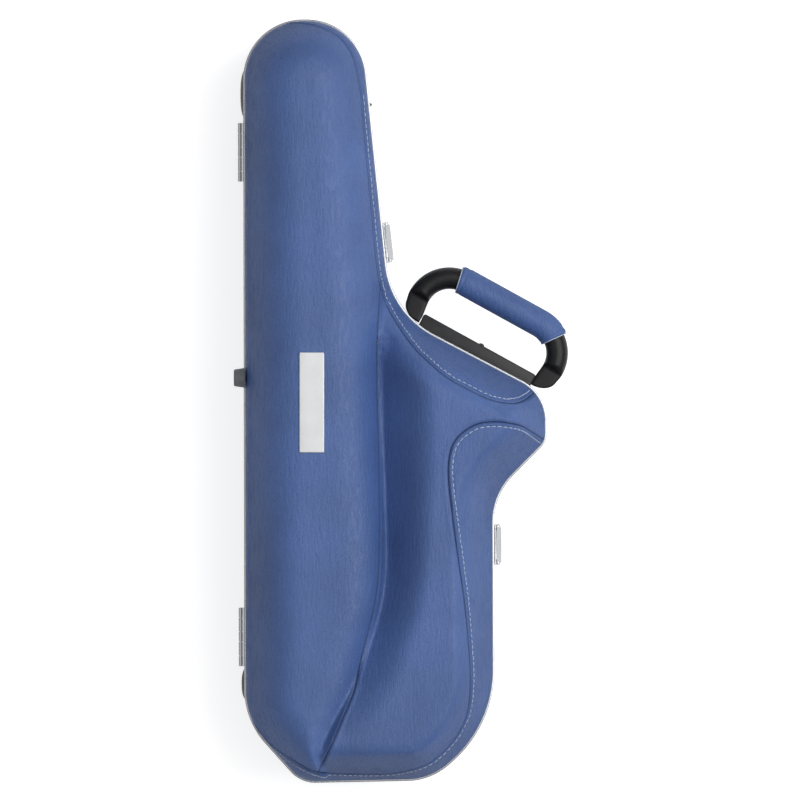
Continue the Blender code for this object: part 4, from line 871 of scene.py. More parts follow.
lid_tree = tree_of(lid_mesh)
first_stitch = int(np.argmin(np.linalg.norm(NECK_LINE - plan(FIRST_STITCH_AT), axis=1)))
thread_points = np.concatenate([stitches(*line_beside(lid_tree, line, WELT_WIDTH))
                                for line in (NECK_LINE[first_stitch:], BELL_LINE)])
count, rings, sides = thread_points.shape[:3]
one = grid_faces(rings, sides, closed_columns=True)
tube_faces = (one[None] + (np.arange(count) * rings * sides)[:, None, None]).reshape(-1, 4)
caps = np.arange(sides)
ends = np.concatenate([np.arange(count)[:, None] * rings * sides + caps[::-1],
                       np.arange(count)[:, None] * rings * sides + (rings - 1) * sides + caps])
thread_finish, tree, shader, place = new_material("pale_thread", (0.44, 0.52, 0.66), 0.62)
twist = add_node(tree, "ShaderNodeTexNoise", {"Vector": place, "Scale": 1900.0, "Detail": 2.0})
shade = span(tree, twist.outputs["Fac"], 0.3, 0.7)
tree.links.new(blend_colours(tree, shade, (0.30, 0.37, 0.50, 1), (0.56, 0.63, 0.75, 1)),
               shader.inputs["Base Color"])
bumped(tree, shader, shade, 0.6, 0.0001)
thread = new_piece("seam_stitches", thread_points, tube_faces.tolist() + ends.tolist(), "lid",
                   thread_finish)
tidy(thread)
print(count, "stitches")

# %% [markdown]
# ## The back half's leather
# The back is a shallow tray: a rounded wall all round and a flat floor that the case lies
# on. It is one panel, so it only needs the same grids with a simpler height.


# %% Back sheet
def back_form(points):
    """Depth of the back under the parting plane: a rounded wall, then the flat floor."""
    gap, _ = wall_gap(points)
    return BAND_HEIGHT + (BACK_DEPTH - BAND_HEIGHT) * rise(gap / BACK_WALL, *BACK_POWERS)


def turned_over(mesh):
    """Heights over the parting plane become depths under it, with the faces turned too."""
    points = coordinates(mesh)
    points[:, 2] = BACK_DEPTH - points[:, 2]
    mesh.vertices.foreach_set("co", points.ravel())
    mesh.flip_normals()
    mesh.update()
    return points


back_mesh = sheet_over(lid_grids(90, 100, 40, 50, 26), LEATHER_FOOT, back_form)
back_points = turned_over(back_mesh)
sheet_piece("back_leather_sheet", back_mesh, "back", plain_leather_finish, "blue_leather",
            "back_leather")
print("back sheet:", len(back_mesh.vertices), "points, lowest",
      round(1000 * back_points[:, 2].min(), 2), "mm")

# %% [markdown]
# ## Metal rims
# Each half's edge sits in a polished channel. It is one section, a little rounded at its
# corners, carried along the outline: the section's first number moves the outline in or
# out, the second is the height.


# %% Swept channels
RIM_CHANNEL = [(0.0016, 0.00015), (0.0017, 0.0080), (0.0016, 0.0100), (-0.0005, 0.0100),
               (-0.0005, 0.0088), (0.0003, 0.0086), (0.0003, 0.00165), (-0.0063, 0.00165),
               (-0.0063, 0.007), (-0.0075, 0.007), (-0.0075, 0.00015)]


def rounded_section(corners, radius, steps):
    """A closed polygon with each corner replaced by a small arc of quadratic curve."""
    corners = np.asarray(corners, float)
    before = np.roll(corners, 1, 0) - corners
    after = np.roll(corners, -1, 0) - corners
    cut = np.minimum(radius, 0.45 * np.minimum(np.linalg.norm(before, axis=1),
                                               np.linalg.norm(after, axis=1)))[:, None]
    first = corners + before / np.linalg.norm(before, axis=1)[:, None] * cut
    last = corners + after / np.linalg.norm(after, axis=1)[:, None] * cut
    t = np.linspace(0, 1, steps + 1)[None, :, None]
    arc = ((1 - t) ** 2 * first[:, None] + 2 * t * (1 - t) * corners[:, None]
           + t ** 2 * last[:, None])
    return arc.reshape(-1, 2)


def swept_rim(name, side, body, material):
    """The channel along the outline; side is 1 for the lid's and -1 for the back's."""
    section = rounded_section(RIM_CHANNEL, 0.0009, 5)
    at = evenly(0, 10, 760)[:-1]
    rows = [np.column_stack([outline(-out, at), np.full(len(at), BACK_DEPTH + side * up)])
            for out, up in section]
    rim = new_piece(name, np.array(rows), grid_faces(len(rows), len(at), True, True), body,
                    material)
    tidy(rim, merge=1e-7, sharp=50)
    return rim


# %% [markdown]
# Polished metal is told by what it mirrors, and by very fine marks of polishing that run
# in all directions and blur the mirror a little more in some places than in others.


# %% Metal finishes
def metal(name, colour, smooth, rough, scratch=0.00002):
    """Bright metal whose roughness wanders between two values, with faint dents."""
    material, tree, shader, place = new_material(name, colour, smooth, 1.0)
    cloud = add_node(tree, "ShaderNodeTexNoise", {"Vector": place, "Scale": 55.0, "Detail": 5.0,
                                                  "Roughness": 0.6})
    marks = add_node(tree, "ShaderNodeTexNoise", {"Vector": place, "Scale": 900.0,
                                                  "Detail": 3.0})
    haze = calculate(tree, "ADD", calculate(tree, "MULTIPLY", cloud.outputs["Fac"], 0.7),
                     calculate(tree, "MULTIPLY", marks.outputs["Fac"], 0.3))
    tree.links.new(span(tree, haze, 0.35, 0.65, smooth, rough), shader.inputs["Roughness"])
    tree.links.new(blend_colours(tree, span(tree, haze, 0.3, 0.7),
                                 (*[0.93 * c for c in colour], 1), (*colour, 1)),
                   shader.inputs["Base Color"])
    bumped(tree, shader, marks.outputs["Fac"], 0.25, scratch)
    return material


rim_finish = metal("bright_rim_metal", (0.42, 0.43, 0.45), 0.18, 0.30)
chrome_finish = metal("chrome_plated", (0.48, 0.49, 0.51), 0.10, 0.20)
lid_rim = swept_rim("lid_rim_channel", 1, "lid", rim_finish)
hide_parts("lid_rim")
back_rim = swept_rim("back_rim_channel", -1, "back", rim_finish)
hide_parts("back_rim")
print("rims:", len(lid_rim.data.polygons), "faces each")

# %% [markdown]
# ## Hinges and latches
# These are pressed and bent sheet metal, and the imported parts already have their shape. A
# copy of each gets whole flat faces and slightly rounded edges, because no real pressed
# edge is perfectly sharp, and a highlight on the edge is what makes metal look solid.

# %% Chromed hardware
for node, body in [("upper_hinge_lid_leaf", "lid"), ("lower_hinge_lid_leaf", "lid"),
                   ("upper_hinge_back_leaf", "back"), ("lower_hinge_back_leaf", "back"),
                   ("neck_latch_keeper", "lid"), ("waist_latch_keeper", "lid"),
                   ("neck_latch_base", "back"), ("waist_latch_base", "back"),
                   ("neck_latch_lever", "neck_lever"), ("waist_latch_lever", "waist_lever"),
                   ("neck_latch_loop", "neck_loop"), ("waist_latch_loop", "waist_loop")]:
    dressed_copy(node, body, chrome_finish, 0.0005 if "lever" in node else 0.00028, 3)
for node in ("upper_hinge_pin", "lower_hinge_pin", "neck_latch_lever_pin", "neck_latch_loop_pin",
             "waist_latch_lever_pin", "waist_latch_loop_pin", "handle_upper_pin",
             "handle_lower_pin", "rim_joint_stud"):
    frame["nodes"][node].data.materials.clear()
    frame["nodes"][node].data.materials.append(chrome_finish)

# %% [markdown]
# ## Dark plastic and rubber
# Moulded plastic has a faint, even spark-eroded texture and shines softly. Rubber is duller
# and picks up pale dust in patches. Both use one group for that uneven wear.

# %% Wear group
wear_group, wear_in, wear_out = new_group(
    "handled surface",
    [("Vector", "NodeSocketVector", None), ("Grain per metre", "NodeSocketFloat", 1500.0)],
    [("Height", "NodeSocketFloat"), ("Dust", "NodeSocketFloat")])
tree = wear_group
grit = add_node(tree, "ShaderNodeTexNoise", {"Vector": wear_in.outputs["Vector"],
                                             "Scale": wear_in.outputs["Grain per metre"],
                                             "Detail": 3.0, "Roughness": 0.6})
cloud = add_node(tree, "ShaderNodeTexNoise", {"Vector": wear_in.outputs["Vector"],
                                              "Scale": 42.0, "Detail": 5.0, "Roughness": 0.65})
tree.links.new(grit.outputs["Fac"], wear_out.inputs["Height"])
tree.links.new(span(tree, cloud.outputs["Fac"], 0.42, 0.72), wear_out.inputs["Dust"])


def moulded(name, colour, dusty, roughness, rough_dust, depth=0.00005, grain=1500.0):
    """A moulded finish that goes from its colour to a dusty one in patches."""
    material, tree, shader, place = new_material(name, colour, roughness)
    wear = use_group(tree, wear_group, Vector=place, Grain_per_metre=grain)
    tree.links.new(blend_colours(tree, wear.outputs["Dust"], (*colour, 1), (*dusty, 1)),
                   shader.inputs["Base Color"])
    tree.links.new(span(tree, wear.outputs["Dust"], 0, 1, roughness, rough_dust, "LINEAR"),
                   shader.inputs["Roughness"])
    bumped(tree, shader, wear.outputs["Height"], 0.6, depth)
    return material


plastic_finish = moulded("black_plastic_moulded", (0.007, 0.007, 0.008), (0.012, 0.012, 0.013),
                         0.38, 0.48)
bar_finish = moulded("bar_plastic_moulded", (0.026, 0.026, 0.027), (0.038, 0.038, 0.039),
                     0.42, 0.54)
for finish in (plastic_finish, bar_finish):
    finish.node_tree.nodes["Principled BSDF"].inputs["Specular IOR Level"].default_value = 0.24
rubber_finish = moulded("black_rubber_moulded", (0.014, 0.015, 0.016), (0.034, 0.034, 0.036),
                        0.50, 0.68, 0.00008, 1100.0)
foot_finish = moulded("grey_rubber_foot", (0.128, 0.140, 0.165), (0.165, 0.172, 0.190), 0.50,
                      0.66, 0.00008, 1200.0)
shell_finish = moulded("black_shell_moulded", (0.018, 0.018, 0.019), (0.03, 0.03, 0.03), 0.45,
                       0.6)
print("moulded finishes ready")

# %% [markdown]
# ## The shells under the leather
# The moulded shells show only as a thin edge inside the rims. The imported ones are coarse
# enough to come through the finer leather, so each is made again on the same grid: the
# sheet moved inwards along its normals, with a wall.

# %% Shells
SHELL_DEPTH, SHELL_WALL = 0.0034, 0.0018
for name, body, form in (("lid_shell", "lid", lid_form), ("back_shell", "back", back_form)):
    mesh = sheet_over(lid_grids(100, 112, 46, 58, 30), LEATHER_FOOT, form)
    points = coordinates(mesh)
    points = relax(mesh, points, 10, points[:, 2] <= WALL_START)
    mesh.vertices.foreach_set("co", points.ravel())
    mesh.update()
    points -= normals(mesh) * SHELL_DEPTH
    mesh.vertices.foreach_set("co", points.ravel())
    if body == "back":
        turned_over(mesh)
    else:
        points[:, 2] += BACK_DEPTH
        mesh.vertices.foreach_set("co", points.ravel())
    shell = sheet_piece(name + "_moulded", mesh, body, shell_finish, "black_shell", name)
    wall_of = shell.modifiers.new("wall", "SOLIDIFY")
    wall_of.thickness, wall_of.offset = SHELL_WALL, -1
print("shells made")

# %% [markdown]
# ## The carrying handle
# A bent round bar with flattened ends swings on two pins in a bar on the flank. The bar's
# middle line is two straight legs and a straight grip with quarter bends between them. Its
# section is a superellipse |x/a|^n + |y/b|^n = 1, whose a, b and n change along the line:
# a flat blade at the pins, a round bar from the bends on. The blades keep a straight inner
# edge beside the base bar, and their outer edge is a quarter ellipse that curls in under it.

# %% Frame of the handle
HANDLE_HALF, HANDLE_REACH, HANDLE_BEND = 0.065, 0.0435, 0.029
ARM_RADIUS, BLADE_HALF, BLADE_INNER, BLADE_OUTER = 0.0093, 0.0033, 0.0544, 0.0721
BLADE_END, BLADE_CURL, BLADE_FLAT, BLADE_TURN, TIP_EDGE = -0.0060, 0.0045, 0.0185, 0.0060, 0.0020
pivot = Vector(next(j["pos_m"] for j in frame["joints"] if j["name"] == "handle_hinge"))
axis = Vector(next(j["axis"] for j in frame["joints"] if j["name"] == "handle_hinge"))
axis = axis.normalized() * (1 if axis.x > 0 else -1)
outward = Vector((-axis.y, axis.x, 0))
box_low, box_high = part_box("handle_frame")
centre = (box_low + box_high) / 2
pivot = pivot + axis * (centre - pivot).dot(axis)


def in_handle(local):
    """Points given along the pivot, outwards and up, as points of the case."""
    local = np.asarray(local, float)
    return (np.array(pivot) + local[..., :1] * np.array(axis)
            + local[..., 1:2] * np.array(outward) + local[..., 2:] * np.array([0, 0, 1.0]))


def handle_line(count):
    """The middle line, evenly parted, with its share of the length and its left side."""
    bend = np.linspace(0, math.pi / 2, 40)
    leg = np.linspace(BLADE_END, HANDLE_REACH - HANDLE_BEND, 30)
    leg = np.stack([np.full(30, -HANDLE_HALF), leg], 1)
    corner = np.stack([-HANDLE_HALF + HANDLE_BEND * (1 - np.cos(bend)),
                       HANDLE_REACH - HANDLE_BEND * (1 - np.sin(bend))], 1)
    left = np.vstack([leg, corner])
    line = np.vstack([left, left[::-1] * (-1, 1)])
    run = run_of(line)
    keep = np.concatenate([[True], np.diff(run) > 1e-7])
    at = np.linspace(0, run[-1], count)
    line = at_run(at, run[keep], line[keep])
    along = np.gradient(line, axis=0)
    along /= np.linalg.norm(along, axis=1)[:, None]
    return line, at, np.stack([-along[:, 1], along[:, 0]], 1)


def superellipse(power, angles):
    """Points of |x|^n + |y|^n = 1: cos and sin raised to 2/n, with their signs."""
    cosine, sine = np.cos(angles), np.sin(angles)
    return (np.sign(cosine) * np.abs(cosine) ** (2 / power),
            np.sign(sine) * np.abs(sine) ** (2 / power))


def swept(line, side, half_wide, half_high, power, count):
    """A section carried along a line of the handle's plane, as rings of points."""
    angles = np.linspace(0, 2 * math.pi, count, endpoint=False)
    x, z = superellipse(power[:, None], angles[None])
    flat = line[:, None] + side[:, None] * (x * half_wide[:, None])[..., None]
    return np.concatenate([flat, (z * half_high[:, None])[..., None]], -1)


def closed_tube(name, rings, body, material):
    """Rings with their two ends fanned shut."""
    rows, columns = rings.shape[:2]
    points = np.vstack([in_handle(rings).reshape(-1, 3), in_handle(rings[[0, -1]].mean(1))])
    faces = grid_faces(rows, columns, closed_columns=True).tolist()
    edge = np.arange(columns)
    faces += np.stack([np.full(columns, rows * columns), np.roll(edge, -1), edge], 1).tolist()
    last = (rows - 1) * columns
    faces += np.stack([np.full(columns, rows * columns + 1), last + edge,
                       last + np.roll(edge, -1)], 1).tolist()
    return tidy(new_piece(name, points, faces, body, material))


def smoothstep(share):
    """3 x^2 - 2 x^3 of a share held between 0 and 1."""
    share = np.clip(share, 0, 1)
    return share ** 2 * (3 - 2 * share)


line, at, side = handle_line(220)
length = at[-1]
from_end = np.minimum(at, length - at)
round_share = smoothstep((from_end - BLADE_FLAT) / BLADE_TURN)
legs = HANDLE_REACH - HANDLE_BEND
ease = smoothstep(line[:, 1] / legs)
curled = np.clip((BLADE_CURL - line[:, 1]) / (BLADE_CURL - BLADE_END) * 0.985, 0, 1)
curl = np.sqrt(1 - curled ** 2)
inner_edge = BLADE_INNER + (HANDLE_HALF - ARM_RADIUS - BLADE_INNER) * ease
outer_edge = BLADE_OUTER + (HANDLE_HALF + ARM_RADIUS - BLADE_OUTER) * ease
outer_edge = inner_edge + (outer_edge - inner_edge) * curl
on_leg = line[:, 1] < legs
half_wide = np.where(on_leg, (outer_edge - inner_edge) / 2, ARM_RADIUS)
middle_line = line.copy()
middle_line[on_leg, 0] = (np.sign(line[:, 0]) * (inner_edge + outer_edge) / 2)[on_leg]
tip = np.sqrt(1 - (1 - np.clip(from_end / TIP_EDGE, 0.02, 1)) ** 2)
half_high = (BLADE_HALF + (ARM_RADIUS - BLADE_HALF) * round_share) * (0.35 + 0.65 * tip)
rings = swept(middle_line, side, half_wide, half_high, 5.0 - 3.0 * round_share, 48)
handle = closed_tube("handle_bent_frame", rings, "handle", plastic_finish)
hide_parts("handle_frame")
print("handle: middle line", round(1000 * length), "mm long, reaches out",
      round(1000 * line[:, 1].max(), 1), "mm")

# %% [markdown]
# The grip is a sleeve of the same leather round the bar, closed by a seam on the side
# towards the case. Its ends are turned in, which makes a small roll with a pale cut edge.

# %% Grip sleeve
GRIP_START, GRIP_END, ROUND_LEG_FROM = 0.245, 0.832, 0.014
GRIP_INNER, GRIP_OUTER, GRIP_ROLL, EDGE_RADIUS, EDGE_THICK = 0.0097, 0.0120, 0.0022, 0.0113, 0.00045
cad_run = (2 * (HANDLE_REACH - HANDLE_BEND - ROUND_LEG_FROM) + math.pi * HANDLE_BEND
           + 2 * (HANDLE_HALF - HANDLE_BEND))
first, last = [length / 2 + (share - 0.5) * cad_run for share in (GRIP_START, GRIP_END)]
t = np.concatenate([np.linspace(0, 0.06, 22), np.linspace(0.06, 0.94, 120)[1:-1],
                    np.linspace(0.94, 1, 22)])
grip_at = first + (last - first) * t
grip_line, grip_side = at_run(grip_at, at, line), at_run(grip_at, at, side)
from_grip_end = np.minimum(grip_at - first, last - grip_at)
roll = np.sqrt(np.clip(1 - (1 - np.clip(from_grip_end / GRIP_ROLL, 0, 1)) ** 2, 0, 1))
waist = 0.0004 * np.exp(-((from_grip_end - 0.0042) / 0.0011) ** 2)
radius = GRIP_INNER + (GRIP_OUTER - GRIP_INNER) * roll - waist
rings = swept(grip_line, grip_side, radius, radius, np.full(len(radius), 2.0), 72)
grip = closed_tube("handle_grip_leather", rings, "handle", grip_leather_finish)
grip_points = coordinates(grip.data)
local = (grip_points - np.array(pivot)) @ np.array([list(axis), list(outward), (0, 0, 1.0)]).T
nearest = ((local[:, None, :2] - grip_line[None]) ** 2).sum(-1).argmin(1)
inner = ((local[:, :2] - grip_line[nearest]) * grip_side[nearest]).sum(1)
around = np.arctan2(local[:, 2], inner) * GRIP_OUTER
grip.data.attributes.new("seam_gap", "FLOAT", "POINT").data.foreach_set("value", around)
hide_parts("handle_grip_sleeve")
turn, small = np.meshgrid(np.linspace(0, 2 * math.pi, 64, endpoint=False),
                          np.linspace(0, 2 * math.pi, 8, endpoint=False), indexing="ij")
for word, end in (("left", 0), ("right", -1)):
    out = np.concatenate([grip_side[end], [0]])
    away = np.cross(out, (0, 0, 1.0))
    around_bar = np.cos(turn)[..., None] * out + np.sin(turn)[..., None] * np.array([0, 0, 1.0])
    ring = (np.concatenate([grip_line[end], [0]])
            + around_bar * (EDGE_RADIUS + EDGE_THICK * np.cos(small))[..., None]
            + away * (EDGE_THICK * np.sin(small))[..., None])
    tidy(new_piece(f"grip_{word}_edge", in_handle(ring), grid_faces(64, 8, True, True), "handle",
                   thread_finish))
print("grip:", len(grip.data.vertices), "points")

# %% [markdown]
# The bar on the flank is moulded plastic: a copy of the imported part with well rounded
# edges, and a small half-round stop in the middle of its outer edge.

# %% Base bar
STOP_AT, STOP_HALF = (0.0018, 0.0030), (0.0025, 0.0016, 0.0028)
dressed_copy("handle_base_bar", "back", bar_finish, 0.0019, 5)
u, v = np.meshgrid(np.linspace(0, 2 * math.pi, 40, endpoint=False), np.linspace(0, math.pi, 15),
                   indexing="ij")
knob = np.stack([STOP_AT[0] + STOP_HALF[0] * np.sin(v) * np.cos(u),
                 STOP_AT[1] + STOP_HALF[1] * np.sin(v) * np.sin(u),
                 STOP_HALF[2] * np.cos(v)], -1)
tidy(new_piece("base_bar_stop", in_handle(knob), grid_faces(40, 15, closed_rows=True), "back",
               bar_finish))
print("base bar and its stop made")

# %% [markdown]
# ## Bumpers, side foot, plate and stud
# The case stands on its hinge side too, so that side has a grey turned foot and two soft
# bumpers. The plate on the ridge is bare satin metal.

# %% Bumpers and foot
BUMPER_SHARE = 0.96
corners = plan(CORNER_SHARES)
along = (corners[1] - corners[0]) / np.linalg.norm(corners[1] - corners[0])
out = np.array([along[1], -along[0]])
u, v = np.meshgrid(np.linspace(0, 2 * math.pi, 72, endpoint=False),
                   np.linspace(0, math.pi / 2, 20))
for name in ("upper_bumper", "lower_bumper"):
    low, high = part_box(name)
    middle, half = (low + high) / 2, (high - low) / 2
    round_part = np.cos(v) ** 0.8
    lengthwise = round_part * np.cos(u) * half.y
    upward = round_part * np.sin(u) * half.z
    outwards = np.sin(v) ** 0.9 * (2 * half.x)
    base = np.array([high.x, middle.y])
    flat = base + out * outwards[..., None] * BUMPER_SHARE - along * lengthwise[..., None]
    points = np.concatenate([flat, (middle.z + upward)[..., None]], -1)
    rows, columns = points.shape[:2]
    faces = grid_faces(rows, columns, closed_columns=True).tolist() + [list(range(columns))]
    bumper = new_piece(name + "_rubber", points, faces, "back", rubber_finish)
    tidy(bumper, merge=1e-5, sharp=60)
    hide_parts(name)

FOOT_PROFILE = np.array([
    (0, 0), (0.0085, 0), (0.00845, 0.0006), (0.0072, 0.0085), (0.00695, 0.0091),
    (0.0064, 0.0095), (0.0030, 0.0095), (0.0026, 0.0093), (0.0022, 0.0078), (0, 0.0078)])
low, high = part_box("side_foot")
middle, size = (low + high) / 2, high - low
turn = np.linspace(0, 2 * math.pi, 64, endpoint=False)
radius, height = FOOT_PROFILE[:, :1], FOOT_PROFILE[:, 1:]
points = np.stack([np.broadcast_to(high.x - height, (len(FOOT_PROFILE), 64)),
                   middle.y + radius * np.cos(turn), middle.z + radius * np.sin(turn)], -1)
foot = new_piece("side_foot_turned", points,
                 grid_faces(len(FOOT_PROFILE), 64, closed_columns=True), "back", foot_finish)
tidy(foot, sharp=40)
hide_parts("side_foot")
print("foot", [round(1000 * v, 1) for v in size], "mm")

# %% Bare plate on the ridge
PLATE_LIFT, PLATE_THICK, PLATE_EDGE = 0.0013, 0.0011, 0.0003
satin_finish = metal("satin_plate_metal", (0.70, 0.71, 0.72), 0.34, 0.46, 0.00003)
satin_finish.node_tree.nodes["Principled BSDF"].inputs["Metallic"].default_value = 0.25
low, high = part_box("front_plate")
middle, half = (low + high) / 2, (high - low) / 2
u, v = np.meshgrid(np.linspace(-1, 1, 25), np.linspace(-1, 1, 81))
reach = 1 - 0.012 * np.abs(v) ** 24
x = middle.x + u * half.x * reach
y = middle.y + v * half.y * (1 - 0.004 * np.abs(u) ** 24)
ridge_tree = tree_of(lid_mesh)
over = [ridge_tree.ray_cast(Vector((a, b, OVER_ALL)), DOWN)[0].z
        for a, b in zip(x.ravel(), y.ravel())]
z = np.array(over).reshape(x.shape) + PLATE_LIFT
plate = new_piece("front_plate_bare", np.dstack([x, y, z]), grid_faces(81, 25), "lid",
                  satin_finish)
thick = plate.modifiers.new("thickness", "SOLIDIFY")
thick.thickness = PLATE_THICK
thick.offset = 1.0 if plate.data.polygons[0].normal.z < 0 else -1.0
ease = plate.modifiers.new("eased edges", "BEVEL")
ease.width, ease.segments, ease.limit_method = PLATE_EDGE, 2, "ANGLE"
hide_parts("front_plate")
print("plate top at", round(1000 * z.max(), 1), "mm")

# %% [markdown]
# ## Plush lining
# Inside, both halves are moulded foam under black plush. The visible surface lies a fixed
# depth inside the outer form. A ball of that radius rolls under the form and its centre
# draws the surface: for a set of directions the form's height is lowered by the ball's own
# height there, and the lowest answer counts. That rounds every inner corner, as foam does.

# %% Plush finish
plush_finish, tree, shader, place = new_material("black_plush_pile", (0.010, 0.010, 0.012), 0.95,
                                                 Sheen_Weight=0.45, Sheen_Roughness=0.4)
pile = add_node(tree, "ShaderNodeTexNoise", {"Vector": place, "Scale": 1300.0, "Detail": 4.0,
                                             "Roughness": 0.7})
lay = add_node(tree, "ShaderNodeMapping", {"Vector": place, "Scale": (60.0, 28.0, 60.0)})
brushed = add_node(tree, "ShaderNodeTexNoise", {"Vector": lay.outputs[0], "Scale": 1.0,
                                                "Detail": 4.0})
tone = calculate(tree, "ADD", calculate(tree, "MULTIPLY", pile.outputs["Fac"], 0.45),
                 calculate(tree, "MULTIPLY", brushed.outputs["Fac"], 0.55))
tree.links.new(blend_colours(tree, span(tree, tone, 0.35, 0.65), (0.006, 0.006, 0.008, 1),
                             (0.026, 0.026, 0.030, 1)), shader.inputs["Base Color"])
bumped(tree, shader, tone, 0.9, 0.0006)


# %% Linings
LINING_DEPTH, LINING_THICK, BALL_WAYS = 0.0188, 0.0030, 12
LINING_FOOT = [(0.0090, 0.0125), (0.0092, 0.0090), (0.0102, 0.0076), (0.0120, 0.0073),
               (0.0160, 0.0073), (0.0178, 0.0077), (0.0186, 0.0088)]


def sunk_form(points):
    """The form's height with a ball of the lining's depth rolled under it."""
    lowest = lid_form(points) - LINING_DEPTH
    turn = np.linspace(0, 2 * math.pi, BALL_WAYS, endpoint=False)
    for ring in (0.5, 0.8, 0.95, 1.0):
        steps = ring * LINING_DEPTH * np.stack([np.cos(turn), np.sin(turn)], 1)
        shifted = (points[None] + steps[:, None]).reshape(-1, 2)
        heights = lid_form(shifted).reshape(BALL_WAYS, -1).min(0)
        lowest = np.minimum(lowest, heights - LINING_DEPTH * math.sqrt(1 - ring ** 2))
    return np.maximum(lowest, BAND_HEIGHT)


def back_lining_form(points):
    """The back's form from inside: the same wall, a lining's depth further in."""
    gap, _ = wall_gap(points)
    share = (gap - LINING_DEPTH) / (BACK_WALL - LINING_DEPTH)
    return BAND_HEIGHT + (BACK_DEPTH - LINING_DEPTH - BAND_HEIGHT) * rise(share, *BACK_POWERS)


for body, form, node in (("lid", sunk_form, "lid_foam_liner"),
                         ("back", back_lining_form, "back_foam_liner")):
    mesh = sheet_over(lid_grids(56, 60, 26, 34, 12, inset=LINING_DEPTH), LINING_FOOT, form)
    points = coordinates(mesh)
    points = relax(mesh, points, 8, points[:, 2] < WALL_START)
    if body == "lid":
        points[:, 2] += BACK_DEPTH
    mesh.vertices.foreach_set("co", points.ravel())
    if body == "back":
        turned_over(mesh)
    mesh.flip_normals()
    mesh.update()
    lining = sheet_piece(body + "_plush_lining", mesh, body, plush_finish, "black_plush", node)
    foam = lining.modifiers.new("foam", "SOLIDIFY")
    foam.thickness, foam.offset = LINING_THICK, -1
    print(lining.name, len(mesh.polygons), "faces")

# %% [markdown]
# ## Saddles
# Three foam blocks with round hollows carry the instrument. Cut foam under plush has no
# sharp edge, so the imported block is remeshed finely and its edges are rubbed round.


# %% Saddles
SADDLE_VOXEL, SADDLE_ROUNDS = 0.0018, 10


def evaluated_mesh(piece):
    """A new mesh of a piece as its modifiers leave it."""
    return bpy.data.meshes.new_from_object(piece.evaluated_get(
        bpy.context.evaluated_depsgraph_get()))


def soft_copy(node, body):
    """A copy of a soft CAD node, remeshed and smoothed into one rounded body."""
    piece = copied_node(node, node + "_soft")
    grid = piece.modifiers.new("remesh", "REMESH")
    grid.mode, grid.voxel_size = "VOXEL", SADDLE_VOXEL
    rub = piece.modifiers.new("rubbed round", "SMOOTH")
    rub.factor, rub.iterations = 0.5, SADDLE_ROUNDS
    bpy.context.view_layer.update()
    done = evaluated_mesh(piece)
    piece.modifiers.clear()
    piece.data = done
    done.name = node + "_soft"
    done.materials.clear()
    done.materials.append(plush_finish)
    done.shade_smooth()
    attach(piece, body)
    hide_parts(node)
    return piece


for node in ("upper_saddle", "lower_saddle", "bell_saddle"):
    saddle = soft_copy(node, "back")
    print(saddle.name, len(saddle.data.polygons), "faces")

# %% [markdown]
# ## Cushions under the lid
# Two channelled cushions press the instrument into its saddles. Their plain shape is
# crowned and thin at its edge, and it is laid on the lining that was just made, by casting
# a ray to it from every point. They are sewn and filled, so they are then blown up as
# cloth: the channels and the side on the lining are pinned, and 20 frames of inner
# pressure swell the rest between them.

# %% Cloth cushions
CUSHION_CLIMB, MOST_SWELL, CLOTH_FRAMES = 0.0045, 0.003, 20
CUSHION_DEEP, CUSHION_EDGE, CUSHION_BACKING, CHANNEL_SHARE = 0.0115, 0.0020, 0.0018, 0.45
CELL_ACROSS, CELL_ALONG = 0.0042, 0.0046
lining_tree = tree_of(bpy.data.objects["lid_plush_lining"].data)


def pad_on_lining(place, width, length, channels):
    """A pad of crown (1 - u^6)^(1/2) (1 - v^6)^(1/2), drawn in by |sin|^(1/2) at channels.

    Gives its points, first the face's and then the seat's, its faces, and which of the
    points are held when it is blown up: the seat and the bottoms of the channels.
    """
    across = int(width / CELL_ACROSS)
    along = channels * max(int(length / channels / CELL_ALONG), 4)
    u, v = np.meshgrid(np.linspace(-1, 1, across + 1), np.linspace(-1, 1, along + 1))
    swell = np.sqrt(np.abs(np.sin(math.pi * channels * (v + 1) / 2)))
    crown = np.sqrt((1 - u ** 6) * (1 - v ** 6)) * (1 - CHANNEL_SHARE * (1 - swell))
    rounding = 1 - 0.10 * np.abs(v) ** 10
    drawn_in = rounding * (1 - 0.045 * (1 - swell) * np.abs(u))
    x = plan([place])[0][0] + u * drawn_in * width / 2
    y = plan([place])[0][1] + v * (1 - 0.02 * np.abs(u) ** 10) * length / 2
    hits = [lining_tree.ray_cast(Vector((a, b, BACK_DEPTH + 0.012)), -DOWN)[0]
            for a, b in zip(x.ravel(), y.ravel())]
    lining = np.array([hit.z if hit is not None else np.nan for hit in hits])
    lining = np.where(np.isnan(lining), np.nanmedian(lining), lining).reshape(x.shape)
    middle = np.median(lining[:, across // 4:-(across // 4)], 1, keepdims=True)
    lining = np.clip(lining, middle - CUSHION_CLIMB, middle + CUSHION_CLIMB)
    face = np.dstack([x, y, lining - CUSHION_EDGE - CUSHION_DEEP * crown])
    seat = np.dstack([x, y, lining + CUSHION_BACKING])
    rows, columns = x.shape
    faces = np.vstack([grid_faces(rows, columns), grid_faces(rows, columns)[:, ::-1] + x.size])
    index = np.arange(x.size).reshape(x.shape)
    rim = np.concatenate([index[0, :-1], index[:-1, -1], index[-1, :0:-1], index[:0:-1, 0]])
    side = np.stack([rim, np.roll(rim, -1), np.roll(rim, -1) + x.size, rim + x.size], 1)
    held = np.concatenate([np.abs(swell.ravel()) < 0.02, np.ones(x.size, bool)])
    return (np.vstack([face.reshape(-1, 3), seat.reshape(-1, 3)]), np.vstack([faces, side]),
            held)


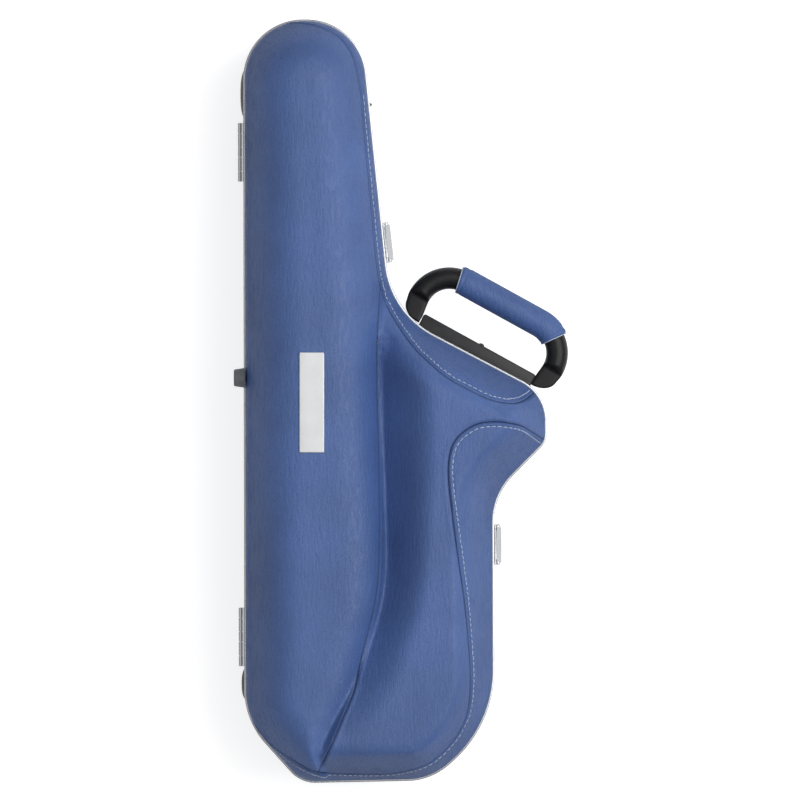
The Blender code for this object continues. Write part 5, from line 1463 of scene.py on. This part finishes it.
def blow_up(piece, held):
    """Swell a closed pad as cloth under inner pressure, by MOST_SWELL at most."""
    points = coordinates(piece.data)
    group = piece.vertex_groups.new(name="held")
    group.add(np.flatnonzero(held).tolist(), 1.0, "REPLACE")
    cloth = piece.modifiers.new("filling", "CLOTH")
    cloth.settings.use_pressure = True
    cloth.settings.uniform_pressure_force = 4
    cloth.settings.vertex_group_mass = "held"
    cloth.settings.effector_weights.gravity = 0
    cloth.settings.quality = 6
    cloth.point_cache.frame_start, cloth.point_cache.frame_end = 1, CLOTH_FRAMES
    scene = bpy.context.scene
    for number in range(1, CLOTH_FRAMES + 1):
        scene.frame_set(number)
    moved = coordinates(evaluated_mesh(piece)) - points
    reach = np.linalg.norm(moved, axis=1)
    moved *= (np.minimum(reach, MOST_SWELL) / np.maximum(reach, 1e-9))[:, None]
    piece.modifiers.clear()
    piece.vertex_groups.clear()
    piece.data.vertices.foreach_set("co", (points + moved).ravel())
    piece.data.update()
    scene.frame_set(1)
    return reach.max()


def cushion(node, place, width, length, channels):
    """A sewn and filled cushion in the lid, at a place of the plan."""
    points, faces, held = pad_on_lining(place, width, length, channels)
    piece = new_piece(node + "_sewn", points, faces, "lid", plush_finish)
    tidy(piece, merge=1e-7)
    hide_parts(node)
    swelled = blow_up(piece, held)
    fine = piece.modifiers.new("fine", "SUBSURF")
    fine.levels = fine.render_levels = 1
    print(piece.name, len(piece.data.polygons), "faces, swelled up to",
          round(1000 * swelled, 1), "mm")


cushion("lid_body_cushion", (0.235, 0.520), 0.062, 0.300, 6)
cushion("lid_bell_cushion", (0.620, 0.243), 0.050, 0.088, 2)

# %% [markdown]
# ## Light, floor and camera
# A pale floor, a wide soft lamp high on the right, a faint one on the left, and a world that
# is dim at the horizon, lighter overhead and bright straight above, so that bright metal
# has something to mirror: pale tops with dark edges. The floor adds a little light of its
# own for the camera, which makes it white and keeps the shadow.

# %% Stage
FLOOR_HALF, CAMERA_AWAY = 4, 11.36
stage_mesh = bpy.data.meshes.new("floor")
stage_mesh.from_pydata([(-FLOOR_HALF, -FLOOR_HALF, 0), (FLOOR_HALF, -FLOOR_HALF, 0),
                        (FLOOR_HALF, FLOOR_HALF, 0), (-FLOOR_HALF, FLOOR_HALF, 0)], [],
                       [(0, 1, 2, 3)])
floor = bpy.data.objects.new("floor", stage_mesh)
COLLECTION.objects.link(floor)
floor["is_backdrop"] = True
floor_finish, tree, shader, place = new_material("pale_floor", (0.66, 0.66, 0.66), 0.9,
                                                 Specular_IOR_Level=0.1)
path = tree.nodes.new("ShaderNodeLightPath")
seen = calculate(tree, "ADD", calculate(tree, "ADD", path.outputs["Is Camera Ray"],
                                        path.outputs["Is Glossy Ray"]),
                 path.outputs["Is Transmission Ray"])
shader.inputs["Emission Color"].default_value = (1, 1, 1, 1)
tree.links.new(calculate(tree, "MULTIPLY", seen, 0.70), shader.inputs["Emission Strength"])
stage_mesh.materials.append(floor_finish)

world = bpy.data.worlds.new("studio")
world.use_nodes = True
bpy.context.scene.world = world
tree = world.node_tree
direction = tree.nodes.new("ShaderNodeTexCoord").outputs["Generated"]
height = add_node(tree, "ShaderNodeSeparateXYZ", {0: direction}).outputs["Z"]
level = calculate(tree, "ADD", span(tree, height, -0.1, 0.95, 0.15, 0.42),
                  span(tree, height, 0.975, 0.99, 0.0, 0.8))
path = tree.nodes.new("ShaderNodeLightPath")
level = calculate(tree, "MAXIMUM", level, path.outputs["Is Camera Ray"])
tree.links.new(level, tree.nodes["Background"].inputs["Strength"])
tree.nodes["Background"].inputs["Color"].default_value = (1, 1, 1, 1)


def soft_lamp(name, place, target, size, power):
    """A square area lamp aimed at a point."""
    data = bpy.data.lights.new(name, "AREA")
    data.shape, data.size, data.energy = "SQUARE", size, power
    lamp = bpy.data.objects.new(name, data)
    bpy.context.scene.collection.objects.link(lamp)
    lamp.location = place
    lamp.rotation_euler = (Vector(target) - Vector(place)).to_track_quat("-Z", "Y").to_euler()


soft_lamp("main lamp", (1.40, 0.4, 2.25), (0, 0, 0.1), 2.2, 60)
soft_lamp("fill lamp", (-1.9, -0.4, 2.3), (0, 0, 0.1), 1.6, 4)

camera_data = bpy.data.cameras.new("camera")
camera_data.lens, camera_data.sensor_width = 600, 36
camera_data.clip_start, camera_data.clip_end = 0.1, 100
camera = bpy.data.objects.new("camera", camera_data)
bpy.context.scene.collection.objects.link(camera)
camera.location = (0.0043, 0.0011, BACK_DEPTH + CAMERA_AWAY)
bpy.context.scene.camera = camera
bpy.context.scene.view_settings.view_transform = "Standard"
print("camera looks straight down from", round(camera.location.z, 2), "m")

# %% Size of what renders
low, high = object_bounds()
print("look box in mm:", [round(1000 * (b - a), 1) for a, b in zip(low, high)])
